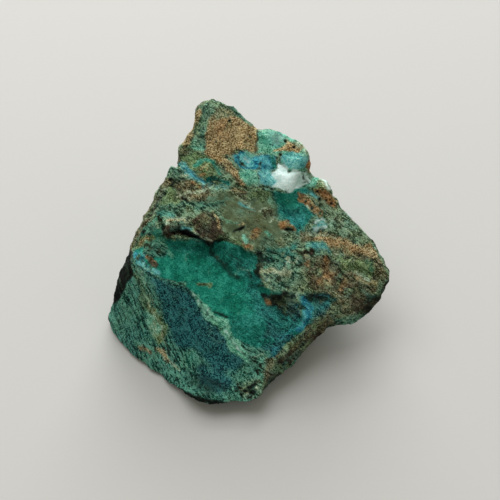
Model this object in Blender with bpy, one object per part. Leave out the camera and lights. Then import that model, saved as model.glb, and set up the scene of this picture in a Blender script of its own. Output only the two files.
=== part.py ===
"""A chrysocolla specimen: one rough piece of natural stone that rests on its broken foot.

Lengths are in metres. +Z is up, -Y is the front and +X is the right-hand side.
The stone is first laid out as overlapping blocks with flat broken faces. The blocks
are fused into one closed skin, the skin is weathered with ledges, grooves, lumps and
pits, and the foot is then cut flat.
"""

from dataclasses import dataclass

import bmesh
import bpy
import numpy as np
from mathutils import Vector, noise

MM = 0.001

# Driving dimensions
STONE_WIDTH = 0.066
SKIN_PITCH = 0.0007
FOOT_CUT = 0.0005
SKIN_TRIANGLES = 9300
NODE_NAME = "chrysocolla_stone"

# Look of the stone
STONE_COLOUR = (0.085, 0.15, 0.125, 1.0)
STONE_ROUGHNESS = 0.78

# Corners of the blocks, in millimetres as (right, back, up)
BLOCKS = {
    "foot_left": {
        "heel": (-33.5, 17.5, 2.5),
        "heel_low": (-32.5, 15.0, 0.0),
        "front_low_left": (-28.0, 10.5, 0.0),
        "front_low": (-15.5, 0.0, 0.0),
        "side_low": (-32.5, 17.5, 9.0),
        "side": (-30.5, 21.5, 15.5),
        "ridge_left": (-27.0, 19.5, 21.5),
        "ridge_bend": (-22.5, 17.5, 20.5),
        "ridge_crease": (-19.0, 16.0, 19.5),
        "ridge_inner": (-8.5, 13.0, 17.5),
        "slope_top_left": (-22.5, 23.0, 24.5),
        "slope_top": (-6.5, 23.5, 25.0),
        "shoulder_low": (-28.5, 24.5, 18.0),
        "shoulder_high": (-27.5, 26.0, 20.5),
        "back_left": (-33.0, 25.0, 0.0),
        "back": (-22.0, 50.0, 0.0),
        "inner_back": (5.0, 45.0, 0.0),
        "inner_right": (5.0, 20.0, 0.0),
        "inner_front": (-6.0, 4.0, 0.0),
        "inner_wall": (-5.0, 5.0, 3.0),
    },
    "foot_right": {
        "front_low": (-15.5, 0.0, 0.0),
        "front_low_right": (-10.0, -3.5, 0.0),
        "toe": (-0.5, -5.5, 2.0),
        "toe_right": (1.5, -5.5, 3.0),
        "ridge_crease": (-13.5, 14.0, 18.0),
        "ridge_right": (-0.5, 2.0, 9.5),
        "ridge_end": (3.5, 2.5, 10.0),
        "slope_top": (-6.5, 23.5, 25.0),
        "slope_top_right": (2.0, 20.5, 23.0),
        "slope_right": (12.5, 7.5, 13.5),
        "side_high": (18.0, 10.5, 8.5),
        "side_low": (14.0, 9.0, 6.0),
        "inner_back": (0.0, 45.0, 0.0),
        "back_right": (14.0, 45.0, 0.0),
        "side_back": (12.0, 20.0, 0.0),
        "toe_low": (2.5, -2.5, 0.0),
        "inner_left": (-15.0, 20.0, 0.0),
        "inner_core": (-15.0, 30.0, 12.0),
    },
    "slab": {
        "lip_left": (-19.5, 22.0, 28.0),
        "lip_right": (2.0, 20.5, 23.0),
        "lip_end": (-22.0, 24.5, 29.5),
        "shelf_left": (-26.0, 27.5, 24.0),
        "shelf_low": (-27.5, 25.5, 21.0),
        "edge_left": (-20.5, 30.0, 32.5),
        "edge_back": (-18.0, 37.0, 35.5),
        "corner_right": (14.0, 39.0, 30.5),
        "edge_right": (20.0, 34.0, 26.5),
        "edge_far_right": (30.0, 25.0, 19.5),
        "tip": (32.0, 19.5, 18.0),
        "under_right": (19.0, 41.0, 12.0),
        "inner_back": (0.0, 45.0, 5.0),
        "inner_front": (0.0, 22.0, 8.0),
        "inner_left": (-15.0, 45.0, 5.0),
        "side_left": (-25.0, 40.0, 8.0),
    },
    "lobe": {
        "lip_top": (2.0, 20.5, 23.0),
        "lip_middle": (2.5, 15.0, 19.5),
        "lip_low": (12.5, 8.5, 14.0),
        "rim_front": (18.0, 10.0, 14.0),
        "rim_right": (28.0, 14.5, 15.0),
        "edge_right": (20.0, 34.0, 26.5),
        "edge_far_right": (30.0, 25.0, 19.5),
        "tip": (32.5, 19.0, 17.5),
        "tip_low": (30.5, 16.5, 14.5),
        "tip_under": (29.0, 15.5, 11.5),
        "belly_right": (27.0, 13.5, 9.0),
        "belly": (24.5, 12.5, 8.5),
        "belly_left": (18.0, 10.5, 9.0),
        "under_back": (19.0, 34.0, 7.0),
        "side_back": (19.0, 40.0, 12.0),
        "under_middle": (24.0, 24.0, 6.5),
        "inner_back": (5.0, 35.0, 10.0),
        "inner_front": (5.0, 20.0, 8.0),
    },
    "peak": {
        "left_low": (-16.5, 40.5, 33.0),
        "left": (-16.5, 42.5, 34.5),
        "left_step": (-14.5, 43.5, 36.0),
        "top_left": (-12.0, 50.5, 40.5),
        "top": (-8.5, 51.0, 42.0),
        "top_right": (-3.5, 49.0, 41.5),
        "right_step": (-1.0, 47.0, 40.0),
        "right": (2.0, 45.5, 38.0),
        "crease_left": (-11.5, 34.5, 32.0),
        "crease": (-3.5, 33.5, 32.0),
        "crease_right": (1.0, 40.0, 35.0),
        "back_left": (-22.0, 46.0, 0.0),
        "back": (-8.0, 57.0, 0.0),
        "back_right": (4.0, 55.0, 0.0),
        "inner": (-10.0, 30.0, 0.0),
        "back_high": (-10.0, 56.0, 30.0),
        "back_high_right": (0.0, 52.0, 30.0),
    },
    "shoulder": {
        "left": (0.5, 46.5, 37.0),
        "top": (7.0, 45.5, 38.0),
        "top_right": (11.5, 43.0, 36.5),
        "right": (13.0, 41.5, 35.5),
        "right_low": (14.5, 39.5, 32.0),
        "crease_left": (-2.5, 33.0, 31.5),
        "crease_right": (9.0, 33.5, 31.0),
        "back_left": (-4.0, 50.0, 0.0),
        "back": (8.0, 54.0, 0.0),
        "back_right": (15.0, 45.0, 0.0),
        "inner": (-10.0, 30.0, 0.0),
        "back_high_left": (0.0, 50.0, 30.0),
        "back_high": (8.0, 52.0, 30.0),
    },
    "knuckle": {
        "left": (14.5, 40.0, 30.0),
        "back": (16.0, 38.0, 30.5),
        "right": (18.0, 36.0, 30.0),
        "front_right": (19.0, 34.0, 29.0),
        "front": (15.0, 34.0, 30.0),
        "inner_left": (10.0, 40.0, 15.0),
        "inner_right": (18.0, 40.0, 15.0),
        "inner_front": (15.0, 30.0, 15.0),
    },
}


@dataclass(frozen=True)
class Groove:
    """A crack or an undercut that runs along a line of points (millimetres)."""

    points: tuple
    width: float
    depth: float


@dataclass(frozen=True)
class Lump:
    """A rounded lump, or a pit where the height is below zero (millimetres)."""

    at: tuple
    radius: float
    height: float


@dataclass(frozen=True)
class Facet:
    """A broken face through three points, with how rough it is and how it is fluted."""

    through: tuple
    reach: float
    keep: float
    flutes: float


GROOVES = (
    # undercut below the ledge that crosses the front
    Groove(((-20, 22.5, 26), (-13.5, 22, 25), (-8.5, 21.5, 23.5), (-5, 22, 24.2), (1.5, 19.8, 22)), 1.5, 1.3),
    Groove(((1.5, 19.8, 22), (2.7, 15.1, 19), (6.7, 12.3, 17), (12, 8.4, 13.9)), 1.5, 0.4),
    # crease between the knob and the slab
    Groove(((-18, 37, 34.5), (-10.5, 34, 32), (-3, 33.2, 31.4), (9, 33.4, 30.8), (14.5, 38.5, 30.5)), 1.8, 0.35),
    # crease between the two heads of the knob
    Groove(((1.5, 46.5, 37.8), (0.5, 40, 35), (-2, 36, 32.8)), 1.8, 0.3),
    # worn fissure in the smooth slope
    Groove(((-6.3, 19.3, 21.9), (-3.5, 17.8, 20.7), (-1, 16, 19.6)), 1.6, 0.3),
    # slit beside the dark lump
    Groove(((-5.2, 24, 26.3), (-2.3, 25.3, 26.6), (0.5, 25.6, 26.2)), 1.5, 0.5),
    # upright crease in the fibrous wall
    Groove(((-18.9, 15, 18), (-19.3, 8.9, 10.2), (-19.2, 4, 1)), 2.2, 0.7),
    # cracks across the hidden back
    Groove(((-20, 47, 30), (-14, 54, 22), (-6, 57, 8)), 1.6, 1.0),
    Groove(((8, 52, 30), (12, 49, 18), (13, 48, 2)), 1.8, 1.0),
    Groove(((-31, 24, 6), (-27, 38, 12), (-20, 47, 14)), 1.5, 0.8),
)

LUMPS = (
    Lump((-9.9, 24.0, 27.2), 4.2, 1.1),
    Lump((-16.6, 24.9, 28.9), 3.2, 0.7),
    Lump((-23.5, 27.5, 27.0), 3.0, 0.5),
    Lump((15.1, 27.9, 25.1), 2.4, 0.8),
    Lump((9.1, 26.8, 25.7), 2.2, 0.6),
    Lump((22.7, 19.3, 19.1), 4.0, 0.5),
    Lump((6.8, 18.0, 20.7), 2.8, 0.7),
    Lump((16.5, 35.5, 30.0), 2.6, 0.5),
    Lump((-8.0, 46.0, 39.5), 4.0, 0.5),
    Lump((7.5, 35.7, 32.5), 3.0, 0.6),
    Lump((-0.4, -3.3, 4.9), 2.4, 0.5),
    Lump((-2.3, 42.6, 37.5), 1.8, -0.6),
    Lump((14.2, 34.8, 28.4), 1.6, -0.7),
    Lump((16.5, 32.2, 26.8), 1.5, -0.7),
    Lump((26.4, 18.0, 17.9), 1.5, -0.5),
    Lump((10.3, 30.4, 27.2), 3.6, -0.5),
    Lump((-5.7, 36.7, 33.8), 3.0, -0.5),
    Lump((4.5, 19.8, 22.1), 1.8, -0.5),
    Lump((-26.5, 12.9, 8.7), 4.5, 0.5),
    Lump((5.5, -2.0, 3.0), 5.0, -1.1),
    Lump((-15.5, 47.5, 38.0), 3.4, -1.1),
    Lump((-19.0, 38.5, 32.0), 2.6, -0.7),
    Lump((8.0, 54.0, 16.0), 5.0, 1.0),
    Lump((-16.0, 53.0, 12.0), 5.5, 1.1),
    Lump((-2.0, 56.0, 26.0), 4.0, -1.0),
    Lump((24.0, 31.0, 12.0), 4.0, 0.8),
)

FACETS = (
    # smooth green slope below the ledge
    Facet(((-19.0, 16.0, 19.5), (-0.5, 2.0, 9.5), (2.0, 20.5, 23.0)), 1.0, 0.22, 0.0),
    # fibrous wall at the front
    Facet(((-13.5, 14.0, 18.0), (-0.5, 2.0, 9.5), (-15.5, 0.0, 0.0)), 1.4, 0.45, 0.22),
    Facet(((-22.5, 17.5, 20.5), (-28.0, 10.5, 0.0), (-15.5, 0.0, 0.0)), 1.4, 0.55, 0.22),
)

# Bands that run along the right-hand edge of the slab
BAND_START = (14.0, 39.0, 30.5)
BAND_END = (32.0, 19.5, 18.0)
BAND_REACH = 11.0
BAND_PITCH = 3.0
BAND_STEP = 0.38

# Roughness of a broken face: wavelength and height of each size of bump, in millimetres
SWELL = (13.0, 0.55)
RUBBLE = (6.0, 0.8)
GRIT = (3.3, 0.4)


def clear_scene() -> None:
    """Remove every object of the scene."""
    for item in list(bpy.data.objects):
        bpy.data.objects.remove(item, do_unlink=True)


def block_mesh(blocks: dict) -> bpy.types.Mesh:
    """Return one mesh that holds the convex hull of every block."""
    bm = bmesh.new()
    for corners in blocks.values():
        verts = [bm.verts.new(Vector(corner) * MM) for corner in corners.values()]
        hull = bmesh.ops.convex_hull(bm, input=verts)
        inside = {item for item in hull["geom_interior"] + hull["geom_unused"]}
        loose = [item for item in inside if isinstance(item, bmesh.types.BMVert)]
        bmesh.ops.delete(bm, geom=loose, context="VERTS")
    bmesh.ops.recalc_face_normals(bm, faces=bm.faces)
    mesh = bpy.data.meshes.new("stone_blocks")
    bm.to_mesh(mesh)
    bm.free()
    return mesh


def evaluated_mesh(item: bpy.types.Object) -> bpy.types.Mesh:
    """Return a new mesh with the modifiers of the object applied."""
    graph = bpy.context.evaluated_depsgraph_get()
    return bpy.data.meshes.new_from_object(item.evaluated_get(graph))


def fused_skin(blocks: dict) -> bpy.types.Object:
    """Return the blocks fused into one even, closed skin."""
    stone = bpy.data.objects.new(NODE_NAME, block_mesh(blocks))
    bpy.context.scene.collection.objects.link(stone)
    remesh = stone.modifiers.new("skin", "REMESH")
    remesh.mode = "VOXEL"
    remesh.voxel_size = SKIN_PITCH
    remesh.adaptivity = 0.0
    skin = evaluated_mesh(stone)
    stone.modifiers.clear()
    stone.data = skin
    return stone


def soft_step(value: np.ndarray) -> np.ndarray:
    """Return a smooth step from 0 to 1 for values between 0 and 1."""
    clipped = np.clip(value, 0.0, 1.0)
    return clipped * clipped * (3.0 - 2.0 * clipped)


def line_distance(points: np.ndarray, start: np.ndarray, end: np.ndarray) -> np.ndarray:
    """Return how far each point is from the line between two points."""
    run = end - start
    along = np.clip((points - start) @ run / (run @ run), 0.0, 1.0)
    return np.linalg.norm(points - (start + along[:, None] * run), axis=1)


def noise_field(points: np.ndarray, wavelength: float, seed: float) -> np.ndarray:
    """Return smooth noise between about -1 and 1 at each point."""
    shift = Vector((seed, 2.7 * seed, -1.3 * seed))
    return np.array([noise.noise(Vector(point) / wavelength + shift) for point in points])


def cell_field(points: np.ndarray, wavelength: float, seed: float) -> np.ndarray:
    """Return broken, chip-like cells between about -1 and 1 at each point."""
    shift = Vector((seed, -1.9 * seed, 0.7 * seed))
    values = []
    for point in points:
        distances, _ = noise.voronoi(Vector(point) / wavelength + shift)
        values.append(distances[1] - distances[0])
    return 2.0 * np.clip(np.array(values), 0.0, 1.0) - 0.6


def facet_fields(points: np.ndarray, normals: np.ndarray) -> tuple[np.ndarray, np.ndarray]:
    """Return how much of the roughness each point keeps, and how deep its flutes are."""
    keep = np.ones(len(points))
    flutes = np.zeros(len(points))
    for facet in FACETS:
        a, b, c = (np.array(corner) for corner in facet.through)
        axis = np.cross(b - a, c - a)
        axis = axis / np.linalg.norm(axis)
        axis = axis * np.sign(axis[2])
        away = np.abs((points - a) @ axis)
        facing = soft_step((normals @ axis - 0.75) / 0.2)
        near = (1.0 - soft_step(away / facet.reach - 1.0)) * facing
        keep = np.minimum(keep, 1.0 - near * (1.0 - facet.keep))
        flutes = np.maximum(flutes, near * facet.flutes)
    return keep, flutes


def band_field(points: np.ndarray, normals: np.ndarray) -> np.ndarray:
    """Return the height of the worn bands along the right-hand edge of the slab."""
    start = np.array(BAND_START)
    end = np.array(BAND_END)
    away = line_distance(points, start, end)
    wander = noise_field(points, 6.0, 4.0)
    phase = (away + 0.9 * wander) / BAND_PITCH
    tread = phase - np.floor(phase)
    height = BAND_STEP * (soft_step(tread / 0.75) - soft_step((tread - 0.8) / 0.2))
    fade = 1.0 - soft_step((away - 0.6 * BAND_REACH) / (0.4 * BAND_REACH))
    return height * fade * soft_step((normals[:, 2] - 0.3) / 0.3)


def groove_field(points: np.ndarray) -> np.ndarray:
    """Return the depth of the grooves, as heights below zero."""
    height = np.zeros(len(points))
    wander = 1.0 + 0.5 * noise_field(points, 2.6, 9.0)
    for groove in GROOVES:
        ends = [np.array(point, dtype=float) for point in groove.points]
        away = np.min([line_distance(points, a, b) for a, b in zip(ends, ends[1:])], axis=0)
        height = np.minimum(height, -groove.depth * wander * (1.0 - soft_step(away / groove.width)))
    return height


def lump_field(points: np.ndarray) -> np.ndarray:
    """Return the height of the lumps and pits."""
    height = np.zeros(len(points))
    for index, lump in enumerate(LUMPS):
        away = np.linalg.norm(points - np.array(lump.at), axis=1)
        near = away < 2.0 * lump.radius
        rim = away[near] * (1.0 + 0.35 * noise_field(points[near], 2.4, 20.0 + index))
        height[near] += lump.height * (1.0 - soft_step(rim / lump.radius))
    return height


def weather(mesh: bpy.types.Mesh) -> None:
    """Move the skin in and out: swells, rubble, flutes, bands, grooves, lumps and pits."""
    count = len(mesh.vertices)
    flat = np.empty(3 * count)
    mesh.vertices.foreach_get("co", flat)
    points = flat.reshape(-1, 3) / MM
    facing = np.empty(3 * count)
    mesh.vertices.foreach_get("normal", facing)
    normals = facing.reshape(-1, 3)
    keep, flutes = facet_fields(points, normals)
    rough = RUBBLE[1] * noise_field(points, RUBBLE[0], 1.0) + GRIT[1] * cell_field(points, GRIT[0], 2.0)
    height = SWELL[1] * noise_field(points, SWELL[0], 3.0) * (0.4 + 0.6 * keep)
    height += rough * keep
    stretched = points * np.array((1.0, 0.35, 0.25))
    height += flutes * 2.0 * noise_field(stretched, 1.5, 6.0)
    height += band_field(points, normals)
    height += groove_field(points) + lump_field(points)
    height *= soft_step((points[:, 2] + 0.2) / 1.2)
    moved = (points + normals * height[:, None]) * MM
    mesh.vertices.foreach_set("co", moved.ravel())
    mesh.update()


def thin_out(stone: bpy.types.Object) -> None:
    """Keep the shape with fewer triangles."""
    stone.data.calc_loop_triangles()
    decimate = stone.modifiers.new("thin", "DECIMATE")
    decimate.ratio = SKIN_TRIANGLES / len(stone.data.loop_triangles)
    thinned = evaluated_mesh(stone)
    stone.modifiers.clear()
    stone.data = thinned


def cut_foot(mesh: bpy.types.Mesh) -> None:
    """Cut the foot flat, close the cut with one face and leave only triangles above it."""
    bm = bmesh.new()
    bm.from_mesh(mesh)
    low = min(vert.co.z for vert in bm.verts) + FOOT_CUT
    whole = bm.verts[:] + bm.edges[:] + bm.faces[:]
    bmesh.ops.bisect_plane(
        bm,
        geom=whole,
        dist=1e-6,
        plane_co=(0.0, 0.0, low),
        plane_no=(0.0, 0.0, -1.0),
        clear_outer=True,
    )
    bmesh.ops.dissolve_degenerate(bm, edges=bm.edges, dist=0.00005)
    rim = [edge for edge in bm.edges if edge.is_boundary]
    for vert in {vert for edge in rim for vert in edge.verts}:
        vert.co.z = low
    bmesh.ops.holes_fill(bm, edges=rim, sides=0)
    bmesh.ops.triangulate(bm, faces=bm.faces)
    bmesh.ops.recalc_face_normals(bm, faces=bm.faces)
    bm.to_mesh(mesh)
    bm.free()


def settle(mesh: bpy.types.Mesh) -> None:
    """Give the stone its width, and centre it over the origin with its foot at zero."""
    count = len(mesh.vertices)
    flat = np.empty(3 * count)
    mesh.vertices.foreach_get("co", flat)
    points = flat.reshape(-1, 3)
    low = points.min(axis=0)
    high = points.max(axis=0)
    origin = np.array(((low[0] + high[0]) / 2.0, (low[1] + high[1]) / 2.0, low[2]))
    scale = STONE_WIDTH / (high[0] - low[0])
    mesh.vertices.foreach_set("co", ((points - origin) * scale).ravel())
    mesh.update()


def stone_material() -> bpy.types.Material:
    """Return the stone's material."""
    material = bpy.data.materials.new("chrysocolla")
    material.use_nodes = True
    shader = material.node_tree.nodes["Principled BSDF"]
    shader.inputs["Base Color"].default_value = STONE_COLOUR
    shader.inputs["Roughness"].default_value = STONE_ROUGHNESS
    shader.inputs["Metallic"].default_value = 0.0
    material.diffuse_color = STONE_COLOUR
    return material


def main() -> None:
    """Build the stone."""
    clear_scene()
    stone = fused_skin(BLOCKS)
    weather(stone.data)
    thin_out(stone)
    cut_foot(stone.data)
    settle(stone.data)
    stone.data.name = NODE_NAME
    stone.data.materials.clear()
    stone.data.materials.append(stone_material())
    stone.data.shade_flat()


main()
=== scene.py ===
"""Looks of the chrysocolla specimen: a fine stone skin, its mineral deposits and a soft studio."""

import logging
import math
from abc import ABC, abstractmethod
from collections.abc import Iterable
from dataclasses import dataclass
from enum import Enum
from typing import ClassVar

import bpy
import numpy as np
from mathutils import Euler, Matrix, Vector, noise


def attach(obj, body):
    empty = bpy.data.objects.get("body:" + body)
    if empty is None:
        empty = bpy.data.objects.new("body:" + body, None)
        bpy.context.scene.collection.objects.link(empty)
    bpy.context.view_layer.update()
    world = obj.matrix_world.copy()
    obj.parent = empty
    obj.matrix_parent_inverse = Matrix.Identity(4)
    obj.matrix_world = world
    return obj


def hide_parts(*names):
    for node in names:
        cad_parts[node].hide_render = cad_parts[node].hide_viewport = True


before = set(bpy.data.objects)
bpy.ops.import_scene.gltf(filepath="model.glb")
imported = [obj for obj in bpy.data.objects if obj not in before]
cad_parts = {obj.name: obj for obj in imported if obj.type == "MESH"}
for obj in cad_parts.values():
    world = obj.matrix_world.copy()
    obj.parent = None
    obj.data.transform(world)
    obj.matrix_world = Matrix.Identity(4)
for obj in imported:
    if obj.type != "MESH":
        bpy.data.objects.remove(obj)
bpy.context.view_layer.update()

MM = 0.001
STONE_NODE = "chrysocolla_stone"
BODY = "root"

log = logging.getLogger("chrysocolla")

Rgb = tuple[int, int, int]
Triple = tuple[float, float, float]
# A run of spots in the camera's frame, in pixels from its left and top: across, down, across, down.
Trace = tuple[float, ...]


class Mineral(Enum):
    """The minerals that colour the stone."""

    GREENSTONE = "greenstone"
    SAGE = "sage"
    MOSS = "moss_green"
    OLIVE = "olive"
    LIMONITE = "limonite"
    SAND = "sand"
    OCHRE = "ochre"
    RUST = "rust"
    IRONSTONE = "ironstone"
    BLACK = "black_oxide"
    EMERALD = "emerald"
    TEAL = "teal"
    SLATE = "slate_blue"
    AZURE = "azure"
    SKY = "sky_blue"
    MINT = "mint"
    CHALK = "chalk"
    CREAM = "cream"


class Side(Enum):
    """Which side of the stone a deposit may show on."""

    HIDDEN = "hidden"
    ALL = "all"


def tone(rgb: Rgb) -> tuple[float, float, float, float]:
    """Turn a colour of 0 to 255 steps into the linear colour that a shader takes.

    Args:
        rgb: Red, green and blue steps.

    Returns:
        The linear colour with full alpha.
    """
    shares = [step / 255.0 for step in rgb]
    linear = [share / 12.92 if share <= 0.04045 else ((share + 0.055) / 1.055) ** 2.4 for share in shares]
    return (*linear, 1.0)


def soft_step(value: np.ndarray) -> np.ndarray:
    """Return a smooth step from 0 to 1 for values between 0 and 1."""
    clipped = np.clip(value, 0.0, 1.0)
    return clipped * clipped * (3.0 - 2.0 * clipped)


def below(value: np.ndarray, limit: float, run: float) -> np.ndarray:
    """Return a smooth step from 0 at a limit to 1 where a value lies a run below it."""
    return soft_step((limit - value) / run)


def ripple(points: np.ndarray, wavelength: float, seed: float, octaves: int = 1) -> np.ndarray:
    """Sample smooth noise at many points.

    Args:
        points: Places in millimetres, one row each.
        wavelength: Size of the largest bumps in millimetres.
        seed: Picks another pattern.
        octaves: How many finer patterns are added.

    Returns:
        Values between about -1 and 1.
    """
    places = points / wavelength + np.array((seed, 2.3 * seed, -1.7 * seed))
    if octaves == 1:
        return np.array([noise.noise(Vector(place)) for place in places])
    return np.array([noise.fractal(Vector(place), 0.8, 2.1, octaves) for place in places])


def chips(points: np.ndarray, wavelength: float, seed: float) -> np.ndarray:
    """Sample a broken pattern of chips.

    Args:
        points: Places in millimetres, one row each.
        wavelength: Size of a chip in millimetres.
        seed: Picks another pattern.

    Returns:
        0 on the cracks between chips, up to about 1 at their middles.
    """
    places = points / wavelength + np.array((seed, -1.3 * seed, 0.6 * seed))
    distances = [noise.voronoi(Vector(place))[0] for place in places]
    return np.clip(np.array([second - first for first, second, *_ in distances]), 0.0, 1.0)


def read_points(mesh: bpy.types.Mesh, field: str) -> np.ndarray:
    """Read the places or the outward directions of a mesh's points.

    Args:
        mesh: The mesh.
        field: "co" for places in metres, "normal" for directions.

    Returns:
        One row for each point.
    """
    values = np.empty(3 * len(mesh.vertices))
    mesh.vertices.foreach_get(field, values)
    return values.reshape(-1, 3)


def spots(trace: Trace) -> np.ndarray:
    """Return the spots of a trace, one row each."""
    return np.array(trace, dtype=float).reshape(-1, 2)


def run_distance(places: np.ndarray, start: np.ndarray, end: np.ndarray) -> np.ndarray:
    """Find how far places are from the line between two spots.

    Args:
        places: Pixels, one row each.
        start: The spot where the line starts.
        end: The spot where it ends.

    Returns:
        The distances in pixels.
    """
    run = end - start
    length = max(float(run @ run), 1e-9)
    along = np.clip((places - start) @ run / length, 0.0, 1.0)
    return np.linalg.norm(places - (start + along[:, None] * run), axis=1)


def inside_outline(places: np.ndarray, outline: np.ndarray) -> np.ndarray:
    """Find which places lie inside a closed outline.

    Args:
        places: Pixels, one row each.
        outline: Its spots, one row each, with the first one again at the end.

    Returns:
        True for each place inside.
    """
    inside = np.zeros(len(places), dtype=bool)
    for (ax, ay), (bx, by) in zip(outline, outline[1:]):
        if ay == by:
            continue
        crosses = (ay > places[:, 1]) != (by > places[:, 1])
        reach = (bx - ax) * (places[:, 1] - ay) / (by - ay) + ax
        inside ^= crosses & (places[:, 0] < reach)
    return inside


@dataclass(frozen=True)
class Sight:
    """Where the camera stands and how it sees the stone."""

    target: Triple = (0.00061, 0.00108, 0.01665)
    distance: float = 0.2761
    elevation: float = 50.0
    lens: float = 85.0
    sensor: float = 36.0
    image: int = 500

    def back(self) -> np.ndarray:
        """Return the direction from the stone to the camera."""
        angle = math.radians(self.elevation)
        return np.array((0.0, -math.cos(angle), math.sin(angle)))

    def stand(self) -> np.ndarray:
        """Return the camera's place in metres."""
        return np.array(self.target) + self.back() * self.distance

    def focal(self) -> float:
        """Return the focal length in pixels."""
        return self.lens / self.sensor * self.image

    def steps_per_mm(self) -> float:
        """Return how many pixels a millimetre takes at the target."""
        return self.focal() / self.distance * MM

    def project(self, points: np.ndarray) -> np.ndarray:
        """Find where points fall in the camera's frame.

        Args:
            points: Places in millimetres, one row each.

        Returns:
            Pixels from the left and from the top, one row each.
        """
        angle = math.radians(self.elevation)
        up = np.array((0.0, math.sin(angle), math.cos(angle)))
        offset = points * MM - self.stand()
        depth = -(offset @ self.back())
        across = self.image / 2 + self.focal() * offset[:, 0] / depth
        down = self.image / 2 - self.focal() * (offset @ up) / depth
        return np.stack((across, down), axis=1)

    def make_camera(self) -> bpy.types.Object:
        """Create the camera and make it the scene's own.

        Returns:
            The camera.
        """
        data = bpy.data.cameras.new("sight")
        data.lens = self.lens
        data.sensor_width = self.sensor
        data.clip_start = 0.01
        camera = bpy.data.objects.new("sight", data)
        camera.location = Vector(self.stand())
        camera.rotation_euler = (math.radians(90.0 - self.elevation), 0.0, 0.0)
        bpy.context.scene.collection.objects.link(camera)
        bpy.context.scene.camera = camera
        return camera


@dataclass(frozen=True)
class WallLimits:
    """Which part of the skin is the fibrous front wall, by slope, height and reach to the front."""

    steep: tuple[float, float] = (0.55, 0.2)
    leaning: tuple[float, float] = (0.76, 0.14)
    leaning_below_mm: tuple[float, float] = (22.0, 4.0)
    shelf_front_mm: tuple[float, float] = (-14.0, 3.0)
    shelf_below_mm: tuple[float, float] = (9.0, 2.5)
    left: tuple[float, float] = (0.15, 0.2)

    def share(self, points: np.ndarray, normals: np.ndarray) -> np.ndarray:
        """Find how much each point belongs to the wall.

        Args:
            points: Places in millimetres, one row each.
            normals: Smooth outward directions, one row each.

        Returns:
            Values from 0 to 1.
        """
        steep = below(normals[:, 2], *self.steep)
        leaning = below(normals[:, 2], *self.leaning) * below(points[:, 2], *self.leaning_below_mm)
        shelf = below(points[:, 1], *self.shelf_front_mm) * below(points[:, 2], *self.shelf_below_mm)
        return np.maximum(np.maximum(steep, leaning), shelf) * below(normals[:, 0], *self.left)


@dataclass
class Survey:
    """What is known of each point of the stone's skin before it is dressed."""

    points: np.ndarray
    seen: np.ndarray
    facing: np.ndarray
    wander: np.ndarray
    flutter: np.ndarray
    wall: np.ndarray
    rough: np.ndarray
    steps_per_mm: float

    @classmethod
    def of_skin(cls, points: np.ndarray, normals: np.ndarray, sight: Sight) -> "Survey":
        """Survey a skin.

        Args:
            points: Places in millimetres, one row each.
            normals: Smooth outward directions, one row each.
            sight: The camera whose frame names the places of deposits.

        Returns:
            The survey.
        """
        steps = sight.steps_per_mm()
        return cls(
            points=points,
            seen=sight.project(points),
            facing=soft_step((normals @ sight.back() + 0.14) / 0.16),
            wander=steps * np.stack((ripple(points, 3.2, 11.0), ripple(points, 3.2, 12.0)), axis=1),
            flutter=steps * np.stack((ripple(points, 0.9, 13.0), ripple(points, 0.9, 14.0)), axis=1),
            wall=WallLimits().share(points, normals),
            rough=np.ones(len(points)),
            steps_per_mm=steps,
        )

    def frayed(self, fray: float) -> np.ndarray:
        """Return the seen places, shaken so that what is drawn there gets a natural edge."""
        return self.seen + fray * (1.5 * self.wander + 0.7 * self.flutter)

    def away(self, trace: Trace, fray: float) -> np.ndarray:
        """Find how far each point is from a trace.

        Args:
            trace: The spots that lines join.
            fray: How far the places are shaken.

        Returns:
            The distances in millimetres.
        """
        places, path = self.frayed(fray), spots(trace)
        ends = path[1:] if len(path) > 1 else path
        return np.min([run_distance(places, a, b) for a, b in zip(path, ends)], axis=0) / self.steps_per_mm

    def depth(self, outline: Trace, fray: float) -> np.ndarray:
        """Find how deep each point lies inside an outline.

        Args:
            outline: The spots round it.
            fray: How far the places are shaken.

        Returns:
            The depths in millimetres, below zero outside.
        """
        closed = outline + outline[:2]
        away = self.away(closed, fray)
        return np.where(inside_outline(self.frayed(fray), spots(closed)), away, -away)

    def shown(self, side: Side) -> np.ndarray | float:
        """Return how much of what lies on a side of the stone shows at each point."""
        return 1.0 - self.facing if side is Side.HIDDEN else 1.0


@dataclass(frozen=True)
class Deposit(ABC):
    """A mineral that covers part of the stone."""

    name: str
    mineral: Mineral

    @abstractmethod
    def cover(self, survey: Survey) -> np.ndarray:
        """Return how much of the mineral lies at each point, from 0 to 1."""


@dataclass(frozen=True)
class Bed(Deposit):
    """A mineral that fills a closed outline."""

    outline: Trace
    fray: float = 0.5
    share: float = 1.0
    soft_mm: float = 2.0

    def cover(self, survey: Survey) -> np.ndarray:
        """Return how much of the mineral lies at each point, from 0 to 1."""
        depth = survey.depth(self.outline, self.fray)
        return self.share * soft_step(0.5 + depth / self.soft_mm) * survey.facing


@dataclass(frozen=True)
class Vein(Deposit):
    """A mineral along a path."""

    width_mm: float
    path: Trace
    fray: float = 0.3
    share: float = 1.0
    soft_mm: float = 0.8

    def cover(self, survey: Survey) -> np.ndarray:
        """Return how much of the mineral lies at each point, from 0 to 1."""
        depth = self.width_mm / 2.0 - survey.away(self.path, self.fray)
        return self.share * soft_step(0.5 + depth / self.soft_mm) * survey.facing


@dataclass(frozen=True)
class Specks(Deposit):
    """Small grains or pits of a mineral at single spots."""

    width_mm: float
    places: Trace
    fray: float = 0.3
    share: float = 1.0
    soft_mm: float = 0.5

    def cover(self, survey: Survey) -> np.ndarray:
        """Find how much of the mineral lies at each point.

        Args:
            survey: The skin's survey.

        Returns:
            Values from 0 to 1.
        """
        away = np.min([survey.away(tuple(spot), self.fray) for spot in spots(self.places)], axis=0)
        depth = self.width_mm / 2.0 - away
        return self.share * soft_step(0.5 + depth / self.soft_mm) * survey.facing


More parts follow.
